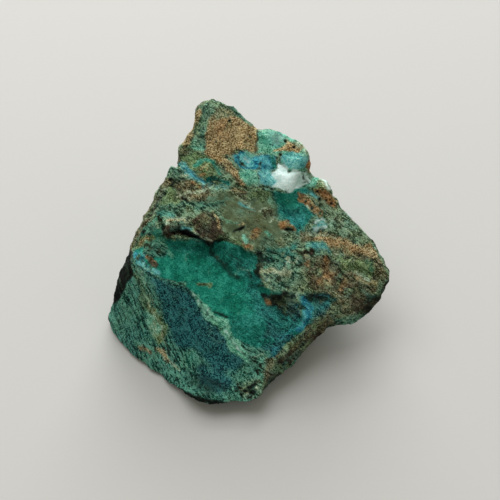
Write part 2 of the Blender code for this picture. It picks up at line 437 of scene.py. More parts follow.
@dataclass(frozen=True)
class Seam(Deposit):
    """A mineral in a wavy sheet that runs right through the stone."""

    through: Triple
    square_to: Triple
    thickness_mm: float
    wave_mm: float = 2.5
    share: float = 1.0
    side: Side = Side.HIDDEN

    def cover(self, survey: Survey) -> np.ndarray:
        """Find how much of the mineral lies at each point.

        Args:
            survey: The skin's survey.

        Returns:
            Values from 0 to 1.
        """
        axis = np.array(self.square_to) / np.linalg.norm(self.square_to)
        away = (survey.points - np.array(self.through)) @ axis
        away += self.wave_mm * ripple(survey.points, 9.0, 0.37 * sum(self.through), 3)
        depth = self.thickness_mm / 2.0 - np.abs(away)
        return self.share * soft_step(0.5 + depth / 1.2) * survey.shown(self.side)


@dataclass(frozen=True)
class Clouds(Deposit):
    """A mineral in loose clouds all over the stone."""

    size_mm: float
    seed: float
    level: float
    share: float = 1.0
    side: Side = Side.ALL

    def cover(self, survey: Survey) -> np.ndarray:
        """Return how much of the mineral lies at each point, from 0 to 1."""
        cloud = ripple(survey.points, self.size_mm, self.seed, 3)
        return self.share * soft_step(0.5 + (cloud - self.level) / 0.22) * survey.shown(self.side)


@dataclass(frozen=True)
class Stain(Clouds):
    """Clouds of a mineral that only tint the rough rock, not the smooth crusts."""

    def cover(self, survey: Survey) -> np.ndarray:
        """Return how much of the mineral lies at each point, from 0 to 1."""
        return super().cover(survey) * survey.rough * (1.0 - survey.wall)


@dataclass(frozen=True)
class Relief(ABC):
    """A small form that stands out of the stone or is sunk in it."""

    name: str
    path: Trace

    @abstractmethod
    def height(self, survey: Survey) -> np.ndarray:
        """Return how far each point moves outwards, in millimetres."""


@dataclass(frozen=True)
class Crack(Relief):
    """A narrow groove along a path."""

    width_mm: float
    depth_mm: float
    fray: float = 0.2

    def height(self, survey: Survey) -> np.ndarray:
        """Return how far each point moves outwards, in millimetres."""
        away = survey.away(self.path, self.fray)
        return -self.depth_mm * (1.0 - soft_step(away / self.width_mm)) * survey.facing


@dataclass(frozen=True)
class Lump(Relief):
    """A rounded lump round a path, or a pit where its height is below zero."""

    radius_mm: float
    height_mm: float
    fray: float = 0.3

    def height(self, survey: Survey) -> np.ndarray:
        """Return how far each point moves outwards, in millimetres."""
        away = survey.away(self.path, self.fray)
        return self.height_mm * (1.0 - soft_step(away / self.radius_mm)) * survey.facing


@dataclass(frozen=True)
class Ledge(Relief):
    """A step down across a path: the lower side is on the right of the way it runs."""

    drop_mm: float
    reach_mm: float
    fray: float = 0.25

    def height(self, survey: Survey) -> np.ndarray:
        """Find how far each point moves outwards.

        Args:
            survey: The skin's survey.

        Returns:
            The moves in millimetres.
        """
        places, path = survey.frayed(self.fray), spots(self.path)
        best = np.full(len(places), np.inf)
        side = np.zeros(len(places))
        for start, end in zip(path, path[1:]):
            away = run_distance(places, start, end)
            turn = (end[0] - start[0]) * (places[:, 1] - start[1])
            turn -= (end[1] - start[1]) * (places[:, 0] - start[0])
            closer = away < best
            best = np.where(closer, away, best)
            side = np.where(closer, np.sign(turn), side)
        away_mm = best / survey.steps_per_mm
        step = soft_step(0.5 + side * away_mm / 0.5)
        return -self.drop_mm * (step - 0.5) * (1.0 - soft_step(away_mm / self.reach_mm)) * survey.facing


@dataclass(frozen=True)
class MineralFinish:
    """How one mineral looks and how rough its surface is."""

    COLOURS: ClassVar[tuple[str, ...]] = ("Dark", "Middle", "Light", "Fleck")
    VALUES: ClassVar[tuple[str, ...]] = (
        "Fleck Share", "Contrast", "Fineness", "Streaky", "Thready", "Pitted", "Roughness", "Tinted",
    )

    dark: Rgb
    middle: Rgb
    light: Rgb
    fleck: Rgb
    fleck_share: float = 0.03
    contrast: float = 1.0
    fineness: float = 0.6
    streaky: float = 0.3
    thready: float = 0.4
    pitted: float = 0.5
    roughness: float = 0.85
    relief_mm: float = 0.12
    rugged: float = 0.9
    tinted: float = 0.6

    def settings(self) -> dict[str, object]:
        """Return what a mineral layer is told, by the names of its inputs.

        Returns:
            Colours and values.
        """
        colours = {name: tone(getattr(self, name.lower())) for name in self.COLOURS}
        values = {name: getattr(self, name.lower().replace(" ", "_")) for name in self.VALUES}
        return colours | values | {"Bump": min(1.0, 6.0 * self.relief_mm)}


M = Mineral

FINISHES: dict[Mineral, MineralFinish] = {
    M.GREENSTONE: MineralFinish(
        (40, 62, 44), (92, 120, 92), (156, 188, 156), (30, 36, 26), fleck_share=0.04, contrast=1.15,
        fineness=0.85, streaky=0.45, thready=0.6, pitted=0.35, tinted=0.75,
    ),
    M.SAGE: MineralFinish(
        (66, 80, 56), (94, 111, 83), (132, 150, 118), (44, 46, 30), contrast=0.65, fineness=0.35,
        streaky=0.15, thready=0.2, pitted=0.15, relief_mm=0.08, rugged=0.4,
    ),
    M.MOSS: MineralFinish(
        (8, 42, 38), (44, 108, 94), (102, 162, 142), (8, 22, 20), fleck_share=0.05, contrast=1.25,
        fineness=0.9, streaky=0.8, thready=0.6, pitted=0.3, roughness=0.8, tinted=0.45,
    ),
    M.OLIVE: MineralFinish(
        (48, 68, 38), (96, 124, 82), (150, 174, 126), (36, 44, 26), fleck_share=0.04, fineness=0.8,
        thready=0.5, rugged=0.8, tinted=0.4,
    ),
    M.LIMONITE: MineralFinish(
        (34, 36, 26), (88, 90, 66), (152, 152, 120), (18, 18, 12), fleck_share=0.05, contrast=1.1,
        fineness=0.8, streaky=0.4, thready=0.5, pitted=0.45, roughness=0.9, relief_mm=0.16, rugged=1.0,
    ),
    M.SAND: MineralFinish(
        (90, 76, 48), (144, 124, 86), (202, 186, 142), (60, 50, 32), fleck_share=0.05, contrast=1.3,
        fineness=1.0, streaky=0.0, thready=0.1, pitted=0.0, roughness=0.95, relief_mm=0.1, rugged=0.3,
        tinted=0.25,
    ),
    M.OCHRE: MineralFinish(
        (124, 102, 64), (194, 166, 112), (238, 218, 170), (56, 44, 24), fleck_share=0.05, contrast=1.5,
        fineness=0.8, streaky=0.0, thready=0.2, pitted=0.4, roughness=0.92, rugged=0.5, tinted=0.25,
    ),
    M.RUST: MineralFinish(
        (100, 68, 42), (172, 128, 84), (218, 178, 128), (26, 20, 14), fleck_share=0.04, contrast=0.8,
        thready=0.1, roughness=0.9, relief_mm=0.16, rugged=0.8,
    ),
    M.IRONSTONE: MineralFinish(
        (28, 24, 19), (68, 60, 47), (104, 92, 76), (14, 12, 10), fleck_share=0.06, contrast=0.9, streaky=0.4,
        thready=0.3, roughness=0.8, relief_mm=0.16, tinted=0.3,
    ),
    M.BLACK: MineralFinish(
        (3, 5, 4), (6, 10, 9), (24, 32, 28), (48, 62, 54), streaky=0.5, pitted=0.2, roughness=0.75,
        relief_mm=0.14, tinted=0.2,
    ),
    M.EMERALD: MineralFinish(
        (6, 88, 76), (18, 126, 108), (58, 166, 140), (6, 66, 58), fineness=0.5, streaky=0.15, thready=0.15,
        pitted=0.2, roughness=0.62, relief_mm=0.04, rugged=0.15, tinted=0.35,
    ),
    M.TEAL: MineralFinish(
        (6, 66, 62), (24, 112, 102), (66, 158, 144), (4, 36, 36), contrast=1.1, fineness=0.5, streaky=0.25,
        thready=0.25, pitted=0.35, roughness=0.64, relief_mm=0.06, rugged=0.25, tinted=0.4,
    ),
    M.SLATE: MineralFinish(
        (4, 34, 42), (20, 78, 82), (60, 126, 126), (8, 30, 34), contrast=1.3, fineness=0.95, streaky=0.4,
        thready=0.5, pitted=0.15, roughness=0.76, relief_mm=0.08, rugged=0.45, tinted=0.45,
    ),
    M.AZURE: MineralFinish(
        (4, 50, 82), (16, 108, 132), (78, 176, 188), (6, 36, 56), fleck_share=0.05, contrast=1.2,
        fineness=0.5, streaky=0.2, pitted=0.4, roughness=0.68, relief_mm=0.08, rugged=0.3, tinted=0.3,
    ),
    M.SKY: MineralFinish(
        (42, 122, 134), (84, 176, 180), (154, 224, 216), (30, 88, 96), fleck_share=0.04, fineness=0.5,
        streaky=0.2, pitted=0.3, roughness=0.74, relief_mm=0.07, rugged=0.28, tinted=0.3,
    ),
    M.MINT: MineralFinish(
        (46, 122, 100), (104, 182, 154), (166, 226, 198), (28, 84, 70), fleck_share=0.06, contrast=0.85,
        fineness=0.7, streaky=0.2, pitted=0.25, roughness=0.8, rugged=0.32, tinted=0.35,
    ),
    M.CHALK: MineralFinish(
        (176, 214, 208), (210, 238, 234), (240, 253, 250), (140, 170, 158), contrast=0.8, streaky=0.0,
        thready=0.1, pitted=0.1, roughness=0.92, relief_mm=0.04, rugged=0.15, tinted=0.1,
    ),
    M.CREAM: MineralFinish(
        (108, 126, 98), (158, 174, 144), (218, 234, 204), (72, 80, 56), fleck_share=0.05, thready=0.3,
        pitted=0.4, roughness=0.9, relief_mm=0.1, rugged=0.45,
    ),
}

GEOLOGY: tuple[Deposit, ...] = (
    Clouds("brown_ground", M.LIMONITE, 9.0, 3.0, -0.05),
    Clouds("olive_ground", M.OLIVE, 5.0, 5.0, 0.22, 0.7),
    Clouds("moss_ground", M.MOSS, 6.0, 7.0, 0.18, 0.8, Side.HIDDEN),
    Seam("moss_seam", M.MOSS, (-14.0, -12.0, 6.0), (0.5, 0.2, 1.0), 14.0),
    Seam("slate_seam", M.SLATE, (-10.0, 0.0, 12.0), (0.3, 0.5, 1.0), 4.0),
    Seam("teal_seam", M.TEAL, (0.0, 5.0, 20.0), (-0.2, 0.5, 1.0), 6.0),
    Seam("emerald_seam", M.EMERALD, (-5.0, 15.0, 24.0), (-0.3, 0.4, 1.0), 3.0),
    Seam("sky_seam", M.SKY, (0.0, 20.0, 27.0), (-0.35, 0.5, 1.0), 0.9, 1.6),
    Seam("mint_seam", M.MINT, (5.0, 10.0, 13.0), (0.6, 0.2, 1.0), 0.9, 1.8),
    Seam("sand_seam", M.SAND, (-6.0, 22.0, 37.0), (0.0, 0.3, 1.0), 7.0),
    Seam("black_seam", M.BLACK, (14.0, 0.0, 8.0), (1.0, 0.2, 0.4), 0.8, 2.2, 0.85),
    Seam("iron_seam", M.IRONSTONE, (26.0, -5.0, 10.0), (0.4, 0.2, 1.0), 6.0),
    Clouds("rust_clouds", M.RUST, 4.0, 9.0, 0.42, 0.8, Side.HIDDEN),
    Clouds("black_clouds", M.BLACK, 3.0, 15.0, 0.48, 0.7, Side.HIDDEN),
)

SLAB: tuple[Deposit, ...] = (
    Bed("slab_ground", M.GREENSTONE, (168, 163, 200, 184, 240, 188, 290, 190, 314, 172, 336, 200, 384, 252,
        392, 276, 372, 300, 330, 318, 306, 322, 280, 298, 260, 285, 256, 258, 222, 238, 190, 238, 160, 234,
        134, 244, 136, 226, 150, 206), 0.2),
    Bed("sage_middle", M.SAGE, (200, 206, 210, 196, 224, 190, 240, 194, 252, 203, 264, 200, 274, 208,
        281, 222, 284, 234, 274, 244, 258, 248, 244, 246, 230, 238, 222, 226, 222, 212), 0.6, 0.9, 3.0),
    Bed("sage_upper", M.SAGE, (236, 192, 262, 188, 277, 190, 279, 204, 284, 214, 272, 213, 256, 204,
        240, 200), 0.7, 0.8, 3.0),
    # Painted light: pale mint that brightens the shaded front of the lump below the chalk.
    Bed("facet_painted_light", M.MINT, (260, 188, 278, 190, 283, 204, 285, 214, 274, 212, 264, 202), 0.8, 0.6, 3.0),
    Bed("sage_teal", M.TEAL, (238, 203, 250, 203, 252, 216, 240, 217), 0.9, 0.22, 3.0),
    Bed("sage_teal_low", M.MOSS, (262, 234, 278, 236, 276, 246, 262, 246), 0.9, 0.4, 3.0),
    Bed("corner_moss", M.MOSS, (170, 164, 182, 164, 186, 172, 176, 178, 166, 176), 0.6, 0.4),
    Bed("dark_facet", M.BLACK, (166, 176, 174, 176, 177, 182, 174, 189, 165, 189, 161, 184), 0.7, 0.8, 1.4),
    Bed("yellow_shoulder", M.OLIVE, (160, 192, 170, 188, 181, 194, 185, 202, 176, 206, 163, 206, 155, 203),
        0.6, 0.95, 1.4),
    Vein("shoulder_lines", M.CREAM, 0.4, (160, 200, 168, 194, 176, 200, 182, 204), 0.9, 0.7),
    Vein("shoulder_shade", M.IRONSTONE, 0.5, (164, 198, 172, 202, 178, 199), 0.9, 0.6),
    Bed("brown_block", M.LIMONITE, (177, 180, 190, 178, 204, 183, 211, 190, 208, 201, 196, 204, 184, 202,
        176, 197, 173, 188), 0.5, 1.0, 1.0),
    Bed("block_tan", M.SAND, (178, 182, 190, 180, 202, 184, 208, 194, 198, 202, 188, 200, 178, 190), 0.8,
        0.4),
    Vein("block_red", M.RUST, 1.0, (193, 184, 198, 186), 0.5, 0.8),
    Vein("block_grey", M.SKY, 0.9, (200, 184, 204, 187), 0.6, 0.4),
    Vein("block_lines", M.CREAM, 0.5, (177, 196, 184, 193, 190, 194, 198, 191, 211, 188), 0.5),
    Vein("block_net", M.CREAM, 0.4, (182, 184, 186, 191, 184, 198, 190, 200), 0.8, 0.8),
    Vein("block_shade_top", M.BLACK, 0.6, (178, 181, 185, 179), 0.4, 0.8),
    Vein("block_shade_low", M.BLACK, 0.6, (182, 197, 186, 200), 0.5, 0.8),
    Bed("green_band", M.MOSS, (162, 206, 176, 204, 192, 203, 208, 202, 226, 199, 228, 207, 208, 211, 190, 210,
        172, 212, 158, 214), 0.9, 0.6, 1.8),
    Vein("band_mint", M.MINT, 0.6, (212, 203, 224, 203), 0.9, 0.6),
    Vein("band_mint_left", M.MINT, 0.6, (196, 206, 205, 206), 0.9, 0.5),
    Bed("speckled_slab", M.TEAL, (206, 200, 212, 192, 228, 190, 236, 200, 226, 204), 0.9, 0.3, 1.8),
    Vein("slab_rust", M.RUST, 0.8, (211, 192, 216, 192), 0.9, 0.4),
    Bed("brown_wedge", M.LIMONITE, (226, 184, 238, 185, 250, 192, 256, 200, 246, 199, 236, 194), 0.6, 0.9,
        1.2),
    Vein("wedge_tan", M.SAND, 0.9, (232, 188, 244, 193), 0.7, 0.7),
    Vein("white_line", M.CREAM, 0.4, (229, 190, 240, 197, 247, 202, 257, 211), 0.25, 0.9),
    Vein("white_line_blue", M.SKY, 0.5, (242, 200, 250, 206, 257, 212), 0.6, 0.7),
    Bed("olive_under_knob", M.OLIVE, (252, 187, 270, 187, 275, 194, 264, 202, 250, 197), 0.8, 0.7, 1.8),
    Vein("under_knob_rust", M.RUST, 1.1, (264, 188, 270, 188), 0.8, 0.4),
    Bed("brown_haze", M.LIMONITE, (228, 212, 258, 210, 266, 224, 256, 238, 236, 234), 0.9, 0.2, 3.0),
    Bed("lens_middle", M.LIMONITE, (261, 211, 270, 209, 273, 217, 265, 220), 0.6, 0.8, 1.0),
    Vein("lens_ring", M.CREAM, 0.5, (260, 213, 266, 208, 273, 211, 275, 218, 269, 221), 0.5, 0.8),
    Vein("lens_crumbs", M.CREAM, 0.5, (266, 200, 274, 206), 0.8, 0.6),
    Bed("olive_patch", M.OLIVE, (228, 240, 240, 236, 247, 244, 238, 250, 229, 247), 0.8, 0.7, 1.4),
    Bed("tan_patch", M.RUST, (278, 236, 285, 236, 287, 249, 280, 250), 0.8, 0.45, 1.4),
    Bed("left_speckle", M.MOSS, (136, 228, 152, 222, 158, 230, 152, 240, 136, 240), 0.8, 0.8),
    Vein("left_speckle_dark", M.BLACK, 1.2, (139, 231, 151, 236), 1.1, 0.8),
    Vein("left_speckle_pale", M.MINT, 0.7, (140, 227, 150, 231, 146, 237), 1.2, 0.7),
    Bed("green_shoulder", M.EMERALD, (153, 226, 165, 225, 166, 242, 155, 245, 150, 240), 0.7, 0.7, 1.4),
    Vein("shoulder_sky", M.MINT, 1.1, (164, 236, 158, 243), 0.9, 0.5),
    Vein("shoulder_mint", M.MINT, 0.9, (146, 225, 155, 218), 1.0, 0.7),
    Vein("notch", M.TEAL, 1.8, (158, 213, 168, 214), 0.7, 0.55),
    Vein("olive_ledge", M.OLIVE, 1.7, (134, 244, 143, 241, 152, 240), 0.5, 0.9),
    Vein("ledge_tan", M.SAND, 0.8, (138, 243, 149, 240), 0.8, 0.7),
    Vein("rim_grey", M.LIMONITE, 1.7, (168, 180, 162, 190, 151, 208, 138, 226, 131, 243), 0.3, 0.85),
    # Painted shade: a dark line along the left edge of the slab.
    Vein("rim_dark", M.IRONSTONE, 0.7, (163, 192, 153, 208, 140, 226), 0.3, 0.7),
    Specks("slab_pits", M.BLACK, 0.7, (171, 178, 165, 194, 157, 206, 158, 216)),
    Bed("iron_lump", M.IRONSTONE, (190, 220, 197, 213, 206, 210, 215, 213, 222, 220, 223, 231, 217, 238,
        211, 243, 203, 239, 194, 233), 0.35, 1.0, 1.0),
    Bed("iron_cap", M.RUST, (193, 219, 199, 213, 212, 212, 219, 219, 208, 222), 0.5, 0.15, 1.4),
    Vein("iron_rim", M.SAND, 0.9, (214, 216, 219, 223, 219, 231), 0.5, 0.75),
    Vein("iron_lip", M.CREAM, 0.5, (191, 229, 198, 235, 206, 238, 212, 240), 0.5, 0.6),
    Vein("brow_cream", M.CREAM, 1.2, (167, 225, 170, 220, 178, 218, 187, 221), 0.5, 0.75),
    Vein("brow_gold", M.OCHRE, 0.8, (168, 223, 176, 220, 184, 221), 0.6, 0.6),
    Specks("brow_pits", M.BLACK, 0.6, (170, 224, 176, 221, 182, 222, 187, 219), 0.6, 0.8),
    # Dark brown rock under the brow, partly painted shade of the overhang.
    Bed("brow_dark_rock_and_shade", M.IRONSTONE, (163, 227, 172, 226, 182, 224, 191, 230, 184, 235, 174, 235, 169, 241,
        163, 237), 0.5, 1.0, 1.0),
    # Painted shadow: black under the brow, where the ledge shadow starts.
    Vein("brow_black", M.BLACK, 1.1, (172, 230, 177, 228, 185, 231), 0.5, 0.9),
    Vein("brow_tongue", M.SKY, 1.0, (184, 227, 190, 230), 0.5, 0.6),
    Vein("ledge_shadow", M.BLACK, 1.4, (186, 232, 194, 237, 203, 242, 211, 246, 219, 239), 0.35),
    # Painted shade: dark brown in the hollow at the end of the ledge.
    Vein("ledge_hollow_shade", M.IRONSTONE, 1.1, (217, 232, 223, 233), 0.4, 0.9),
    Vein("mint_streaks", M.MINT, 1.1, (224, 219, 230, 223, 236, 226), 0.8, 0.45),
    Vein("slit", M.BLACK, 0.6, (234, 231, 239, 230, 243, 227), 0.2),
    # Painted highlight: pale sand along the upper edge of the slit.
    Vein("slit_edge", M.SAND, 0.5, (239, 226, 243, 224), 0.3, 0.7),
    Bed("orange_spot", M.RUST, (249, 230, 254, 227, 260, 231, 259, 238, 253, 240, 249, 236), 0.6, 0.9, 1.2),
    Vein("orange_spot_low", M.RUST, 1.5, (245, 243, 250, 246), 0.5, 0.85),
    Vein("mint_spot", M.MINT, 1.2, (243, 237, 247, 240), 0.5),
    Vein("mint_spot_right", M.MINT, 1.1, (265, 232, 269, 236), 0.6, 0.9),
    Vein("under_chalk", M.MOSS, 1.5, (268, 188, 284, 190, 302, 188), 0.6, 0.7),
    Bed("teal_facet", M.TEAL, (271, 190, 285, 187, 298, 186, 306, 186, 313, 192, 304, 198, 310, 205, 318, 214,
        310, 222, 303, 231, 296, 233, 290, 226, 284, 222, 279, 218, 276, 212, 278, 206, 275, 198), 0.5, 1.0,
        3.0),
    Bed("facet_green", M.EMERALD, (280, 192, 296, 190, 300, 204, 288, 208, 279, 202), 0.8, 0.7),
    Bed("facet_blue", M.AZURE, (277, 209, 290, 208, 306, 214, 306, 224, 298, 231, 286, 222), 0.8, 0.3),
    Bed("facet_light", M.SKY, (278, 192, 304, 190, 312, 212, 298, 230, 280, 214), 0.9, 0.17, 3.0),
    Vein("facet_fleck", M.MINT, 0.4, (289, 196, 291, 201), 0.9, 0.5),
    Vein("lump_rim", M.CREAM, 0.5, (277, 220, 283, 228, 292, 233), 0.4, 0.7),
    Vein("rust_lump", M.RUST, 1.3, (281, 224, 287, 224, 293, 227), 0.4, 0.85, 0.9),
    Vein("lump_hole", M.BLACK, 0.8, (287, 228, 293, 229), 0.2),
    Vein("rust_strip", M.RUST, 1.9, (303, 198, 308, 202, 314, 207, 321, 213), 0.5, 0.95, 0.9),
    Vein("strip_tail", M.RUST, 0.7, (299, 194, 304, 199), 0.4, 0.8),
    Vein("strip_cream", M.CREAM, 0.6, (306, 206, 313, 211), 0.5, 0.9),
    Bed("bump", M.CREAM, (311, 174, 322, 172, 330, 180, 333, 190, 326, 193, 316, 187), 0.6, 0.8, 1.2),
    Vein("bump_rim", M.CHALK, 0.9, (317, 174, 326, 179, 331, 188), 0.6, 0.6),
    Bed("bump_olive", M.OLIVE, (308, 180, 320, 182, 325, 190, 313, 188), 0.8, 0.7, 1.4),
    Bed("rust_shoulder", M.RUST, (313, 187, 324, 189, 333, 196, 341, 209, 332, 206, 322, 201, 315, 194), 0.6,
        0.85, 1.2),
    Vein("shoulder_cream", M.CREAM, 0.4, (308, 198, 320, 202, 331, 207), 0.5, 0.8),
    Vein("shoulder_blue", M.SKY, 0.7, (311, 194, 317, 198), 0.5, 0.8),
    Specks("rust_pits", M.BLACK, 0.7, (316, 192, 322, 190, 319, 199, 327, 201, 332, 203, 306, 202, 313, 208,
        320, 213)),
    Bed("lavender", M.SKY, (307, 230, 313, 224, 321, 218, 325, 222, 323, 231, 314, 234), 1.3, 0.7, 1.6),
    Vein("lavender_white", M.CHALK, 0.7, (309, 231, 316, 227, 324, 227), 1.1, 0.7),
    Vein("lavender_low", M.CHALK, 0.6, (311, 234, 320, 231), 0.9, 0.65),
    Vein("lavender_top", M.CHALK, 0.5, (317, 221, 321, 218, 326, 219), 0.9, 0.7),
)

KNOB: tuple[Deposit, ...] = (
    Bed("knob_ground", M.GREENSTONE, (178, 148, 199, 104, 213, 97, 240, 105, 262, 126, 300, 138, 316, 170,
        290, 189, 240, 188, 200, 184, 170, 163), 0.2),
    Vein("rim_moss", M.MOSS, 2.2, (204, 108, 203, 120, 205, 132, 206, 147), 0.8, 0.5),
    Vein("rim_teal", M.TEAL, 0.8, (204, 118, 206, 130, 206, 142), 0.9, 0.4),
    Bed("rim_dark", M.MOSS, (225, 102, 237, 104, 239, 112, 230, 113), 0.8, 0.8, 1.4),
    Vein("rim_back", M.MOSS, 1.4, (240, 114, 252, 122), 0.6, 0.6),
    Vein("rim_pale", M.MINT, 0.6, (206, 106, 213, 100, 222, 101), 0.9, 0.5),
    Vein("edge_tan", M.SAND, 1.8, (200, 113, 195, 123, 190, 135, 185, 145), 0.4, 0.8),
    Vein("edge_chips", M.BLACK, 0.6, (197, 124, 194, 133), 0.6, 0.9),
    Specks("edge_holes", M.BLACK, 0.6, (198, 118, 192, 139, 186, 146)),
    Bed("low_left", M.MINT, (188, 143, 198, 138, 206, 146, 205, 152, 192, 153), 0.9, 0.45, 1.4),
    Vein("low_left_lines", M.MINT, 0.5, (186, 146, 196, 150, 207, 152), 0.6, 0.7),
    Vein("low_left_cream", M.CREAM, 0.4, (200, 152, 211, 152), 0.5, 0.8),
    Bed("brown_corner", M.LIMONITE, (177, 149, 184, 146, 188, 154, 185, 163, 176, 161), 0.5, 0.9, 1.2),
    Bed("olive_hollow", M.OLIVE, (182, 157, 196, 153, 206, 156, 214, 166, 222, 176, 214, 182, 196, 178,
        184, 168), 0.6, 0.9, 1.4),
    Bed("olive_fall", M.GREENSTONE, (212, 158, 222, 162, 236, 178, 230, 184, 218, 178), 0.7, 0.9, 1.4),
    Vein("dome_rim", M.EMERALD, 1.3, (196, 164, 205, 160, 213, 163, 219, 173), 0.5, 0.7),
    Vein("dome_pale", M.MINT, 0.5, (198, 162, 206, 159, 213, 162), 0.5, 0.7),
    Bed("sand_face", M.SAND, (214, 108, 222, 107, 232, 112, 243, 120, 257, 127, 258, 134, 257, 146, 253, 154,
        245, 151, 236, 150, 229, 156, 214, 153, 207, 147, 206, 133, 208, 120), 0.5, 1.0, 1.6),
    Bed("face_green", M.GREENSTONE, (211, 107, 224, 107, 238, 115, 228, 120, 213, 118), 0.9, 0.5, 2.0),
    Bed("face_warm", M.RUST, (209, 126, 222, 118, 236, 124, 232, 140, 214, 144), 0.9, 0.5, 3.0),
    Bed("gold", M.OCHRE, (240, 127, 257, 129, 258, 150, 250, 153, 241, 149, 237, 138), 0.6, 1.0, 1.4),
    Vein("face_seam", M.BLACK, 0.35, (258, 130, 257, 140, 256, 149), 0.2, 0.7),
    Specks("face_pits", M.BLACK, 0.55, (230, 121, 212, 120, 210, 139, 216, 142, 250, 137, 226, 155, 245, 142),
        0.1),
    Vein("sand_tail", M.SAND, 2.2, (210, 152, 222, 161, 234, 171, 242, 182), 0.4, 0.95),
    Vein("tail_shade", M.LIMONITE, 0.8, (222, 165, 240, 182), 0.6, 0.6),
    Vein("tail_gold", M.OCHRE, 1.1, (216, 157, 220, 161), 0.3),
    Vein("dome_rust", M.RUST, 1.0, (200, 174, 204, 174), 0.4, 0.9),
    Specks("dome_rust_crumbs", M.RUST, 0.8, (211, 177, 208, 170), 0.5, 0.6),
    Vein("dome_tan", M.SAND, 1.0, (201, 168, 207, 167), 0.6, 0.7),
    Vein("dome_crease", M.TEAL, 1.2, (207, 181, 216, 180, 228, 183), 0.5, 0.9),
    Vein("crease_black", M.BLACK, 0.4, (211, 181, 221, 182), 0.8, 0.7),
    Bed("azure_left", M.AZURE, (232, 153, 240, 152, 248, 154, 259, 158, 258, 168, 248, 171, 240, 166,
        233, 161), 0.5, 1.0, 1.2),
    Vein("azure_ink", M.BLACK, 0.5, (240, 161, 247, 166), 0.4, 0.6),
    Vein("azure_ink_top", M.BLACK, 0.5, (236, 154, 240, 159), 0.5, 0.4),
    Vein("azure_sky", M.SKY, 1.8, (243, 157, 250, 163), 0.3),
    Vein("azure_spark", M.CHALK, 0.7, (245, 159, 249, 162), 0.4, 0.45),
    Vein("azure_mint", M.MINT, 0.9, (246, 154, 253, 157), 0.5, 0.8),
    Bed("azure_right", M.AZURE, (258, 157, 270, 153, 277, 158, 275, 169, 262, 171), 0.6, 0.9, 1.2),
    Vein("right_sky", M.SKY, 1.6, (262, 158, 268, 166), 0.6, 0.5),
    Vein("right_teal", M.TEAL, 1.2, (271, 156, 274, 166), 0.6, 0.9),
    Specks("azure_holes", M.BLACK, 0.7, (260, 163, 242, 163), 0.3, 0.8),
    Bed("mint_crown", M.MINT, (257, 133, 266, 130, 276, 130, 290, 134, 302, 142, 309, 155, 300, 159, 270, 156,
        257, 152), 0.4, 0.95, 1.4),
    Bed("crown_green", M.EMERALD, (258, 134, 267, 133, 270, 144, 260, 147), 0.9, 0.6, 1.4),
    Bed("crown_blue", M.SKY, (269, 132, 280, 132, 284, 142, 278, 150, 270, 148), 0.8, 0.35, 1.4),
    Bed("crown_white", M.CHALK, (270, 133, 281, 134, 284, 142, 275, 147), 1.0, 0.3, 1.4),
    Bed("crown_gold", M.OCHRE, (286, 140, 296, 143, 306, 149, 300, 153, 288, 152, 276, 152, 284, 146), 0.5,
        0.85, 1.2),
    Vein("crown_gold_line", M.OCHRE, 0.6, (274, 151, 284, 150, 293, 149), 0.4, 0.8),
    Vein("crown_cream", M.CREAM, 1.6, (297, 142, 306, 150, 310, 160), 0.5, 0.7),
    Bed("sea_glass", M.SKY, (281, 156, 292, 152, 304, 156, 309, 162, 305, 168, 296, 171, 287, 169, 281, 163),
        0.3, 0.75, 1.1),
    Bed("sea_glass_green", M.MINT, (284, 157, 296, 154, 305, 160, 296, 168, 286, 166), 0.7, 0.25),
    Vein("glass_rim", M.MINT, 0.4, (281, 161, 286, 168, 296, 171, 306, 167, 310, 160), 0.2, 0.9),
    Specks("crown_holes", M.BLACK, 0.8, (285, 141, 294, 147, 281, 155), 0.2),
    Bed("leaf_green", M.MINT, (242, 168, 256, 170, 258, 184, 247, 186, 241, 178), 0.6, 0.95, 1.4),
    Bed("leaf_shade", M.EMERALD, (243, 172, 254, 173, 256, 184, 246, 184), 0.8, 0.35),
    Bed("low_sky", M.SKY, (257, 169, 268, 170, 277, 178, 275, 186, 258, 185), 0.7, 1.0, 1.2),
    Vein("low_azure", M.AZURE, 0.8, (257, 173, 263, 183), 0.9, 0.5),
    Bed("chalk_apron", M.MINT, (296, 170, 310, 168, 321, 176, 314, 187, 300, 189), 0.4, 0.9, 1.4),
    Bed("chalk", M.CHALK, (269, 172, 276, 170, 279, 164, 284, 165, 287, 171, 296, 171, 301, 177, 301, 184,
        295, 190, 289, 190, 283, 186, 272, 185, 274, 179), 1.0, 1.0, 1.1),
    Bed("chalk_speckle", M.CHALK, (298, 173, 310, 171, 315, 177, 309, 183, 300, 184), 1.0, 0.85, 1.2),
    Vein("speckle_brown", M.LIMONITE, 0.6, (302, 173, 306, 180), 0.8, 0.55),
    Vein("speckle_olive", M.OLIVE, 0.6, (308, 172, 314, 179), 0.8, 0.5),
    Vein("speckle_moss", M.MOSS, 0.7, (302, 186, 312, 183), 0.8, 0.5),
    Specks("speckle_holes", M.IRONSTONE, 0.5, (300, 172, 304, 176, 307, 172, 310, 177, 303, 181, 308, 181,
        313, 175, 299, 179), 0.9, 0.6),
    Vein("rust_edge", M.RUST, 1.6, (309, 163, 312, 170), 0.4, 0.9),
    Bed("turquoise_vein", M.SKY, (179, 162, 184, 162, 192, 169, 200, 176, 207, 183, 204, 186, 194, 181,
        185, 175, 180, 169), 0.4, 0.75, 0.9),
    Vein("vein_azure", M.AZURE, 0.8, (186, 169, 194, 176, 203, 182), 0.3, 0.6),
    Vein("vein_end", M.SKY, 0.7, (209, 185, 217, 187, 228, 187), 0.8, 0.55),
    Vein("vein_cream", M.CREAM, 0.8, (182, 175, 187, 175), 0.5, 0.8),
)

